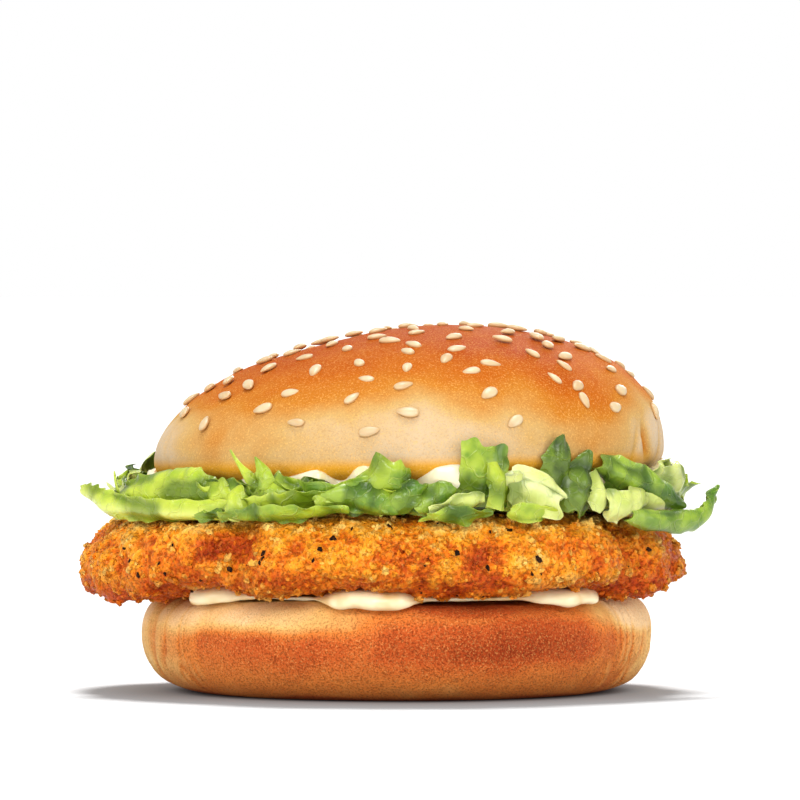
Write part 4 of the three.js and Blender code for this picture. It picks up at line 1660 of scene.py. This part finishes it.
# The leaves that show in front, one by one: spine, width, tone, ends, roll, curl and ruffle come first.
FRONT_LEAVES = (
    Leaf(((-80, 59.4, 38.2), (-73, 57.5, 35.8), (-59, 54, 34.6), (-36, 50.5, 35)), 5.6, LIGHT,
         (0.5, 0.7), 35, 0.6, thick=0.7, rib_size=0.7, crumple=0.4),
    Leaf(((-71, 56, 36.4), (-60, 53.4, 37.8), (-48, 52, 38.4), (-38, 50.6, 37.2)), 9.6, LIGHT,
         (0.25, 0.4), 14, 0.9, crumple=0.8, teeth=((0.93, 1.4, 0.06), (0.72, 0.8, 0.05))),
    Leaf(((-72, 56.2, 35.6), (-69, 56, 38), (-68.5, 56.4, 41)), 3.6, LIGHT,
         (1, 0.1), ruffle=0.1, crumple=0.2, point=0.7),
    Leaf(((-37, 51.8, 34.6), (-35.5, 52.2, 36.8), (-34, 51, 39.4)), 6.4, LIGHT,
         (0.8, 0.5), curl=0.9, ruffle=0.9, crumple=0.9, pale_end=0.6),
    Leaf(((-33, 50.4, 38), (-25, 51, 38.5), (-15, 50.4, 37)), 6.4, BRIGHT,
         (0.6, 0.3), 8, 0.6, 0.7, teeth=((0.14, 2.6, 0.12), (0.42, 1.6, 0.08), (0.8, 1.4, 0.07))),
    Leaf(((-30, 50.8, 38.5), (-32.4, 51.5, 41.4), (-36.4, 51, 45.4)), 4.0, LIGHT,
         (1, 0.1), ruffle=0.2, crumple=0.3, point=0.85, fold=0.5),
    Leaf(((-28.4, 50.8, 38.5), (-28.6, 51.5, 41.4), (-30, 51.2, 44.2)), 5.4, BRIGHT,
         (1, 0.1), ruffle=0.3, crumple=0.4, point=0.7, fold=0.4),
    Leaf(((-37, 50.8, 36), (-24, 51.9, 36.4), (-12, 51, 37.8)), 5, LIGHT, (0.5, 0.4), 44),
    Leaf(((-40, 52.5, 34.2), (-25, 53, 34.5), (-11, 51.6, 35.6)), 4.6, BRIGHT, (0.4, 0.4), 52, 0.3),
    Leaf(((-15, 51, 38.2), (-7, 52, 37.2), (0, 51.6, 36)), 7, MID, (0.3, 0.4), 24, 1.0),
    Leaf(((-34, 50, 38.2), (-24, 50.2, 37.4), (-13, 49.8, 38)), 5.6, DARK,
         (0.4, 0.3), 20, 0.8, 0.9, pale_end=0.0),
    Leaf(((-18, 51.4, 36.4), (-12, 51.2, 38.4), (-7, 50.6, 41)), 4.4, BRIGHT, (0.5, 0.3), 10, 0.8, 0.8),
    Leaf(((-8.4, 50.4, 39.6), (-2.6, 51.4, 40.8), (3.4, 50.6, 40)), 7.4, BRIGHT,
         (0.5, 0.4), 12, 0.6, 0.9, crumple=0.85,
         teeth=((0.42, 2.4, 0.22), (0.7, 1.2, 0.1), (0.9, 0.8, 0.06))),
    Leaf(((-2.5, 51.8, 35.6), (1.5, 52.2, 37.8), (5, 50.8, 40.6)), 4.8, MID, (0.5, 0.6), 10, 0.4, 0.9),
    Leaf(((3.5, 51, 35.8), (7.5, 51.4, 38), (11.4, 50.4, 40)), 6, MID, (0.5, 0.4), 0, 0.8, 0.8),
    Leaf(((6.6, 52.4, 35.8), (12.5, 52.8, 36.8), (18, 52, 37.8)), 4, PALE, (0.3, 0.6), 40, 0.3),
    Leaf(((5, 52.6, 34.8), (12, 53.4, 34.2), (18.5, 52.6, 34.5)), 4.4, BRIGHT, (0.4, 0.4), 50),
    Leaf(((22.5, 51.6, 35.6), (27, 52, 35), (33, 51.8, 34.8)), 4.2, LIGHT, (0.3, 0.4), 20),
    Leaf(((16.6, 49.6, 36.8), (18, 51, 42), (18.6, 50.8, 47.8)), 10, BRIGHT,
         (0.9, 0.9), 0, 0.4, 0.3, crumple=0.3),
    Leaf(((20, 52, 35.6), (20.4, 53, 40), (19.4, 52.2, 44.2)), 3.6, LIGHT,
         (1, 0.7), 0, 0.7, thick=0.7, crumple=0.3),
    Leaf(((23, 51, 40.8), (29, 52, 39), (35, 52.2, 36)), 8.6, PALE,
         (0.6, 0.5), 16, 0.6, rib=0.3, rib_size=0.5),
    Leaf(((22, 50.6, 41.4), (28, 51, 41.2), (33.4, 51, 39.8)), 3.6, PALE, (0.6, 0.3), 20, thick=0.8),
    Leaf(((35, 50.2, 38), (35.6, 51.2, 43.4), (36.6, 51.4, 49.6)), 9.4, DARK,
         (0.9, 0.08), 0, 0.5, 0.3, crumple=0.6, point=0.5, pale_end=0.5, fold=0.25,
         teeth=((0.6, 1.2, 0.08),)),
    Leaf(((39.4, 51.4, 34.4), (41, 52.2, 39.6), (43.8, 51.4, 45.4)), 10.6, DARK,
         (0.6, 0.22), 0, 0.7, pale_end=0.3, crumple=0.7, point=0.3, fold=0.2),
    Leaf(((44.2, 52, 34.4), (45.8, 52.4, 38.2), (45, 51.2, 42)), 5.6, PALE, (0.6, 0.5), 0, 0.8, 0.8),
    Leaf(((45.6, 53, 36), (52, 53.6, 35.6), (62, 53.2, 37)), 7.6, PALE, (0.4, 0.4), 24, 1.0),
    Leaf(((47.6, 51, 43.2), (56, 53.4, 40), (69.4, 57.4, 35)), 7, MID, (0.4, 0.25), 30, 0.7, fold=0.45),
    Leaf(((53, 53.4, 33.8), (62, 56.6, 32.5), (73, 59.4, 32.9), (78, 60.8, 38.2)), 6, MID,
         (0.5, 0.1), 20, 1.3, crumple=0.3),
    Leaf(((70, 57.8, 32.6), (75, 60, 34.6), (78.6, 61, 38.8)), 3.4, LIGHT,
         (0.6, 0.1), 10, 0.9, crumple=0.2, point=0.3),
    Leaf(((67, 48.6, 36), (71, 51.8, 39.4), (75, 52.4, 42)), 8, PALE, (0.6, 0.5), 10),
    Leaf(((56, 52, 36.6), (62, 53.6, 36), (68.5, 54.6, 35.6)), 5, PALE, (0.5, 0.4), 30),
    Leaf(((68, 52.4, 38), (72.5, 54, 40), (77, 54.8, 41.4)), 7.4, PALE,
         (0.6, 0.5), 6, 0.8, 0.9, pale_end=0.6),
    Leaf(((-46, 52, 34.2), (-41, 52.2, 33.9), (-37, 51.8, 34.4)), 2.4, MID,
         (0.5, 0.3), 40, ruffle=0.8, crumple=0.9),
)


@dataclass
class LettuceBed:
    """The bed of cut lettuce: a core painted dark as the shade between the leaves, and the leaves and
    shreds on it.

    Front leaves that lie below repeat_below and within repeat_within degrees of the front are laid again
    round the sides and back, once for each (bearing, direction) of the repeats.
    """

    core_radius: float = 48.6
    core_bottom: float = 35.4
    core_top: float = 37.6
    core_columns: int = 200
    back_count: int = 8
    back_first: float = 92.0
    back_reach: float = 50.6
    standing_apart: float = 11.0
    repeat_below: float = 40.7
    repeat_within: float = 38.0
    repeats: tuple = ((112, -1), (166, 1), (214, -1), (262, 1))
    tuck_count: int = 64
    tuck_reach: float = 49.0
    shred_count: int = 30
    shred_first: float = 66.0
    shred_reach: float = 51.6

    @staticmethod
    def lying_leaf(number: int, bearing: float, reach: float, tone: LeafTone) -> Leaf:
        """A large leaf that lies along the edge of the bed.

        Args:
            number: its number, for the draws.
            bearing: where its middle lies.
            reach: how far out it lies.
            tone: its tone.

        Returns:
            The leaf.
        """
        sweep = 13 + 4 * draw(number, 13)
        spill = 3 * draw(number, 14)
        spine = ((bearing - sweep, reach, 36.2), (bearing, reach + spill, 35.6),
                 (bearing + sweep, reach + 0.6, 36.6))
        width = 6 + 3 * draw(number, 15)
        roll = 25 + 35 * draw(number, 16)
        along = [0.15 + 0.24 * k + 0.1 * draw(number, 22 + k) for k in range(4)]
        teeth = tuple((place, 2.4 * draw(number, 32 + k), 0.07) for k, place in enumerate(along))
        return Leaf(spine, width, tone, (0.4, 0.4), roll, ruffle=0.8, teeth=teeth)

    @staticmethod
    def standing_leaf(number: int, bearing: float, reach: float, tone: LeafTone) -> Leaf:
        """A large leaf that stands up against the crown, lower at the burger's two ends.

        Args:
            number: its number, for the draws.
            bearing: where its foot stands.
            reach: how far out it stands.
            tone: its tone.

        Returns:
            The leaf.
        """
        lean = 8 * (draw(number, 17) - 0.5)
        at_side = float(smoothstep(abs(math.sin(math.radians(bearing))), 0.8, 0.95))
        tip = 43 + 4.5 * draw(number, 18) - 5.5 * at_side
        spine = ((bearing, reach - 2.4, 36.2), (bearing + 0.6 * lean, reach + 0.4, 39.6),
                 (bearing + 2 * lean, reach, tip))
        width = 8 + 4 * draw(number, 19)
        ends = (0.8, 0.1 + 0.25 * draw(number, 20))
        fold = 0.45 * draw(number, 21)
        return Leaf(spine, width, tone, ends, curl=0.6, crumple=0.8, point=0.3, fold=fold)

    def back_leaves(self) -> list[Leaf]:
        """The large leaves round the sides and back.

        Returns:
            Lying ones with a standing one between each two.
        """
        tones = (BRIGHT, LIGHT, MID, PALE)
        leaves = []
        step = (360 - 2 * self.back_first) / (self.back_count - 1)
        for i in range(self.back_count):
            bearing = self.back_first + i * step + 5 * (draw(i, 11) - 0.5)
            reach = self.back_reach + 1.2 * draw(i, 12)
            leaves.append(self.lying_leaf(i, bearing, reach, tones[i % 4]))
            if i < self.back_count - 1:
                foot = bearing + self.standing_apart
                leaves.append(self.standing_leaf(i, foot, reach, tones[(i + 1) % 4]))
        return leaves

    def turned_leaves(self) -> list[Leaf]:
        """The lower leaves of the front again, turned and mirrored to the sides and back.

        Returns:
            The leaves, each with a draw of its own for its place and tone.
        """
        leaves = []
        tones = tuple(LeafTone)
        for turn, way in self.repeats:
            for i, leaf in enumerate(FRONT_LEAVES):
                places = np.array(leaf.spine)
                too_high = places[:, 2].max() > self.repeat_below
                if too_high or np.abs(places[:, 0]).max() > self.repeat_within:
                    continue
                number = i + turn
                bearing = turn + way * places[:, 0] + 6 * (draw(number, 51) - 0.5)
                radius = places[:, 1] + 1.6 * (draw(number, 52) - 0.6)
                height = places[:, 2] + 1.2 * (draw(number, 53) - 0.5)
                spine = tuple(zip(bearing[::way], radius[::way], height[::way]))
                tone = tones[(tones.index(leaf.tone) + int(3 * draw(number, 54))) % len(tones)]
                leaves.append(replace(leaf, spine=spine, tone=tone))
        return leaves

    def tucked_leaves(self) -> list[Leaf]:
        """Smaller shreds that fill the bed all round.

        Returns:
            The shreds, by turns a dark one behind, laid as painted shade between the leaves, and a lighter
            one before it.
        """
        leaves = []
        for i in range(self.tuck_count):
            bearing = 360 * (i + 0.7 * draw(i, 41)) / self.tuck_count
            behind = i % 2 == 0
            at_front = float(smoothstep(math.cos(math.radians(bearing)), 0.1, 0.3))
            reach = self.tuck_reach + 1.0 * draw(i, 42) + (0 if behind else 1.2) - 1.2 * at_front
            sweep = 4 + 5 * draw(i, 43)
            low = 36.2 + 1.2 * draw(i, 44)
            lift = 2.6 * (draw(i, 45) - 0.3)
            spine = ((bearing - sweep, reach - 0.8, low), (bearing, reach + 0.6, low + 0.6 + 0.5 * lift),
                     (bearing + sweep, reach - 0.6, low + lift))
            # The dark shreds behind stand in for shade: painted shade.
            tone = DARK if behind else (MID, BRIGHT, MID, LIGHT)[(i // 2) % 4]
            width = 4.5 + 2.5 * draw(i, 46)
            leaves.append(Leaf(spine, width, tone, (0.5, 0.4), 60 * draw(i, 47), 0.6, 0.7))
        return leaves

    def loose_shreds(self) -> list[Leaf]:
        """Thin shreds that lie across the edge of the bed.

        Returns:
            The shreds.
        """
        leaves = []
        for i in range(self.shred_count):
            share = (360 - 2 * self.shred_first) * (i + draw(i, 61)) / self.shred_count
            bearing = self.shred_first + share
            reach = self.shred_reach + 1.2 * draw(i, 62)
            sweep = (3 + 4 * draw(i, 63)) * (1 if draw(i, 64) > 0.5 else -1)
            low = 35.0 + 1.4 * draw(i, 65)
            rise = 3.2 * draw(i, 66)
            spine = ((bearing - sweep, reach - 0.4, low), (bearing, reach + 0.3, low + 0.3 * rise),
                     (bearing + sweep, reach - 1.0, low + rise))
            tone = (MID, BRIGHT, DARK, LIGHT, MID)[i % 5]
            width = 1.6 + 1.8 * draw(i, 67)
            roll = 20 + 40 * draw(i, 68)
            leaves.append(Leaf(spine, width, tone, (0.5, 0.3), roll, 0.7, 0.3, crumple=0.3))
        return leaves

    def build_leaves(self, veins: bpy.types.NodeTree) -> list[bpy.types.Object]:
        """Makes one piece for each tone of leaf.

        Args:
            veins: the shared group of leaf veins.

        Returns:
            The pieces.
        """
        leaves = [*FRONT_LEAVES, *self.back_leaves(), *self.turned_leaves(), *self.tucked_leaves(),
                  *self.loose_shreds()]
        made = []
        for tone in LeafTone:
            skin = Skin()
            for index, leaf in enumerate(leaves):
                if leaf.tone is tone:
                    leaf.add_to(skin, index)
            finish = LeafFinish(tone).make(veins)
            piece = skin.piece(f"lettuce_{tone.name.lower()}", finish, sharp=60.0)
            made.append(keep(piece, "lettuce", "lettuce"))
        return made

    def build_core(self, finish: bpy.types.Material, patty: Patty) -> bpy.types.Object:
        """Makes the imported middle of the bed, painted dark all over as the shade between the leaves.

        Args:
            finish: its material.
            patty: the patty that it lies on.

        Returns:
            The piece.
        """
        rows = [(0, 0), (0.5, 0), (0.9, 0), (0.98, 0.2), (1, 0.5), (0.98, 0.8), (0.9, 1), (0.5, 1), (0, 1)]
        section = np.array(rows)
        bearing = np.linspace(0, 360, self.core_columns, endpoint=False)[None, :]
        radius = section[:, :1] * self.core_radius * (1 + 0.02 * np.sin(np.radians(7 * bearing)))
        droop = patty.drop(radius / patty.radius_x, bearing)
        height = self.core_bottom + section[:, 1:] * (self.core_top - self.core_bottom) - droop
        rings = polar(bearing, radius, height)
        made = Turned(rings).moved(0.5 * Relief.lumps(rings, 4, 95))
        # Painted shade: the core takes the full fold shade all over.
        values = {"leaf_x": made.rings[..., 0], "leaf_y": made.rings[..., 1], "pale": 0.0, "painted_shade_mask": 1.0}
        return keep(made.piece("lettuce_core", finish, **values), "lettuce")


@dataclass
class Studio:
    """A white table, soft lamps and the camera.

    Softboxes are (name, place, size, power). A slope is how far a sun leans forward for each step down,
    and the table glows less where the burger stands within contact_reach of it, a painted contact shadow
    from ambient occlusion.
    """

    elevation: float = 1.6
    distance: float = 2000.0
    lens: float = 480.0
    sensor: float = 36.0
    target: tuple[float, float, float] = (0.37, 0.0, 54.4)
    surround: float = 0.58
    table_half: float = 4000.0
    table_grey: float = 128.0
    table_glow: float = 0.46
    contact_reach: float = 45.0
    lamp_aim: tuple[float, float, float] = (0.0, 0.0, 35.0)
    sun_spread: float = 14.0
    overhead_sun: float = 1.75
    overhead_slope: float = 0.12
    table_sun: float = 11.0
    shadow_slope: float = 0.34
    softboxes: tuple = (
        ("key softbox", (-40, -850, 480), (420, 320), 4.2),
        ("low fill", (0, -600, 45), (1400, 110), 0.65),
        ("left fill", (-760, -430, 220), (300, 300), 1.6),
        ("right fill", (760, -430, 220), (300, 300), 1.5),
        ("back fill", (200, 850, 420), (420, 320), 2.4),
    )

    def floor(self) -> bpy.types.Object:
        """Makes the white table.

        Returns:
            Its flat top.
        """
        half = self.table_half
        skin = Skin()
        corners = np.array([(-half, -half, 0), (half, -half, 0), (half, half, 0), (-half, half, 0)], float)
        skin.add(corners, [(0, 1, 2, 3)])
        material, graph, shader = new_material("white table")
        # Painted shadow: the table's glow dims by ambient occlusion near the burger.
        painted_contact_shadow = graph.add("AmbientOcclusion", None, Distance=self.contact_reach * MM).outputs["AO"]
        grey = linear(self.table_grey, self.table_grey, self.table_grey)
        graph.dress(shader, Base_Color=grey, Roughness=0.8, Specular_IOR_Level=0.0)
        glow = graph.math("MULTIPLY", painted_contact_shadow, self.table_glow)
        graph.dress(shader, Emission_Color=(1, 1, 1, 1), Emission_Strength=glow)
        table = skin.piece("table", material)
        return table

    def lamp(self, name: str, place: tuple, size: tuple, power: float) -> bpy.types.Object:
        """Adds one soft lamp that looks at the burger.

        Args:
            name: its name.
            place: where it hangs, in millimetres.
            size: its two sides.
            power: its power in watts.

        Returns:
            The lamp.
        """
        data = bpy.data.lights.new(name, "AREA")
        data.shape = "RECTANGLE"
        data.size, data.size_y = (s * MM for s in size)
        data.energy = power
        lamp = bpy.data.objects.new(name, data)
        lamp.location = Vector(place) * MM
        aim = Vector(self.lamp_aim) * MM - lamp.location
        lamp.rotation_euler = aim.to_track_quat("-Z", "Y").to_euler()
        bpy.context.scene.collection.objects.link(lamp)
        return lamp

    def sun(self, name: str, strength: float, slope: float) -> bpy.types.Object:
        """Adds one broad even light from above.

        Args:
            name: its name.
            strength: how strong it is.
            slope: how far it leans forward.

        Returns:
            The lamp.
        """
        data = bpy.data.lights.new(name, "SUN")
        data.energy = strength
        data.angle = math.radians(self.sun_spread)
        lamp = bpy.data.objects.new(name, data)
        lamp.rotation_euler = Vector((0.0, -slope, -1.0)).to_track_quat("-Z", "Y").to_euler()
        bpy.context.scene.collection.objects.link(lamp)
        return lamp

    def light(self, table: bpy.types.Object) -> None:
        """Sets the white surround and the lamps; one of them is for the table's shadow alone.

        Args:
            table: the table's top.
        """
        world = bpy.data.worlds.new("white surround")
        bpy.context.scene.world = world
        world.use_nodes = True
        graph = Graph(world.node_tree)
        seen = graph.add("LightPath").outputs["Is Camera Ray"]
        strength = graph.add("MapRange", None, Value=seen, To_Min=self.surround, To_Max=1.0).outputs[0]
        graph.dress(world.node_tree.nodes["Background"], Color=(1, 1, 1, 1), Strength=strength)
        off_table = [self.lamp(*box) for box in self.softboxes]
        off_table.append(self.sun("overhead", self.overhead_sun, self.overhead_slope))
        on_table = [self.sun("shadow caster", self.table_sun, self.shadow_slope)]
        for lamps, state in ((off_table, "EXCLUDE"), (on_table, "INCLUDE")):
            linked = bpy.data.collections.new(f"table {state.lower()}d")
            linked.objects.link(table)
            linked.collection_objects[0].light_linking.link_state = state
            for lamp in lamps:
                lamp.light_linking.receiver_collection = linked

    def camera(self) -> None:
        """Adds the camera at the photograph's viewing angle."""
        data = bpy.data.cameras.new("camera")
        data.lens = self.lens
        data.sensor_width = self.sensor
        tilt = math.radians(self.elevation)
        back = Vector((0, -math.cos(tilt), math.sin(tilt)))
        camera = bpy.data.objects.new("camera", data)
        camera.location = (Vector(self.target) + back * self.distance) * MM
        camera.rotation_euler = (-back).to_track_quat("-Z", "Y").to_euler()
        bpy.context.scene.collection.objects.link(camera)
        bpy.context.scene.camera = camera

    def build(self) -> None:
        """Makes the whole studio."""
        self.light(self.floor())
        self.camera()
        bpy.context.scene.view_settings.view_transform = "Standard"


CROWN_CRUST = CrustFinish(
    name="crown crust",
    stops=((0.0, (204, 182, 152)), (0.25, (196, 157, 96)), (0.5, (192, 119, 38)), (0.72, (186, 94, 16)),
           (1.0, (170, 66, 4))),
    fleck=(238, 188, 104), pore=(150, 78, 26), golden_rim_and_painted_light=(226, 160, 42), fleck_share=0.5, pore_share=0.16,
    relief=0.3, sheen=0.03,
)
HEEL_CRUST = CrustFinish(
    name="heel crust",
    stops=((0.0, (255, 218, 166)), (0.25, (255, 200, 118)), (0.5, (246, 140, 60)), (0.72, (214, 94, 38)),
           (1.0, (170, 62, 22))),
    fleck=(250, 178, 100), pore=(120, 44, 14), golden_rim_and_painted_light=(236, 150, 50), fleck_share=0.55, pore_share=0.34,
    relief=0.8, sheen=0.1,
)
BREADING = BreadingFinish(
    name="fried breading",
    stops=((0.0, (126, 40, 6)), (0.24, (204, 84, 8)), (0.46, (246, 126, 10)), (0.68, (255, 164, 28)),
           (1.0, (255, 212, 110))),
    dark=(212, 168, 112),
)
# The lower sauce is darker and yellower than the upper where thin: partly its own tint, partly painted
# shade under the patty.
LOWER_SAUCE = SauceFinish("lower sauce", (248, 232, 190), (226, 192, 132))
UPPER_SAUCE = SauceFinish("upper sauce", (246, 236, 200), (236, 218, 164))
UPPER_LOBES = (
    (-42, 14, 0.56), (-24, 13, 0.66), (-9, 9, 0.68), (10, 16, 0.75), (50, 12, 0.56), (84, 12, 0.66),
    (128, 16, 0.66), (176, 18, 0.7), (-132, 16, 0.66), (-92, 14, 0.6),
)
LOWER_LOBES = (
    (-49, 15, 0.92), (-7, 20, 1.0), (43, 19, 1.0), (104, 17, 0.9), (152, 14, 0.8), (-158, 18, 0.95),
    (-104, 13, 0.8),
)


def build_lower_sauce(heel: Heel, patty: Patty) -> bpy.types.Object:
    """Makes the sauce on the heel, hanging over its rim where it is squeezed out.

    Args:
        heel: the heel below it.
        patty: the patty above it.

    Returns:
        The piece.
    """
    overlap, overhang = 0.2, 2.0
    sauce = Sauce(LOWER_LOBES)
    bearing, reach, level = sauce.grid()
    low = heel.height + overlap - overhang * smoothstep(reach, heel.rim_radius + 1.2, heel.radius)
    sag = 1.2 - 1.8 * sauce.squeezed(bearing)
    high = patty.bottom + overlap - sag * smoothstep(reach / patty.radius_y, 0.62, 0.8)
    rings = polar(bearing, reach, low + (high - low) * level)
    return sauce.piece("lower_sauce_layer", rings, LOWER_SAUCE.make(), "lower_sauce")


def build_upper_sauce(crown: Crown, bed: LettuceBed) -> bpy.types.Object:
    """Makes the sauce under the crown, pressed against its cut face and curled rim.

    Args:
        crown: the crown above it.
        bed: the lettuce below it.

    Returns:
        The piece.
    """
    overlap = 0.3
    sauce = Sauce(UPPER_LOBES, lobe=9.2)
    bearing, reach, level = sauce.grid()
    plane = crown.settle(polar(bearing, reach, np.zeros_like(reach)))
    curl = (crown.waist - 1.0) * smoothstep(reach, crown.cut_radius, crown.radius + 1) ** 2
    low = bed.core_top + overlap
    lift = 1.7 * sauce.squeezed(bearing) ** 2 + 0.8 * Relief.lumps(plane, 8, 35)
    high = plane[..., 2] + overlap + 1.25 * curl + lift
    rings = polar(bearing, reach, low + (high - low) * level) + np.array([crown.centre_x, 0, 0])
    return sauce.piece("upper_sauce_layer", rings, UPPER_SAUCE.make(), "upper_sauce")


def main() -> None:
    """Builds the burger from the table up, reports each piece and then sets up the studio."""
    logging.basicConfig(level=logging.INFO, format="%(name)s %(message)s")
    speckle = crust_speckle_group()
    veins = leaf_vein_group()
    breading = BREADING.make(speckle)
    heel, patty, crown, bed = Heel(), Patty(), Crown(), LettuceBed()
    pieces = [
        heel.build(HEEL_CRUST.make(speckle)),
        build_lower_sauce(heel, patty),
        patty.build_crust(breading),
        patty.build_crumbs(breading),
        patty.build_pepper(PepperFinish().make()),
        bed.build_core(LeafFinish(LeafTone.DARK).make(veins), patty),
        *bed.build_leaves(veins),
        build_upper_sauce(crown, bed),
        crown.build_crust(CROWN_CRUST.make(speckle)),
        crown.build_seeds(SeedFinish().make()),
    ]
    for piece in pieces:
        LOG.info("%s: %d faces, %s", piece.name, len(piece.data.polygons), piece.active_material.name)
    Studio().build()


if __name__ == "__main__":
    main()
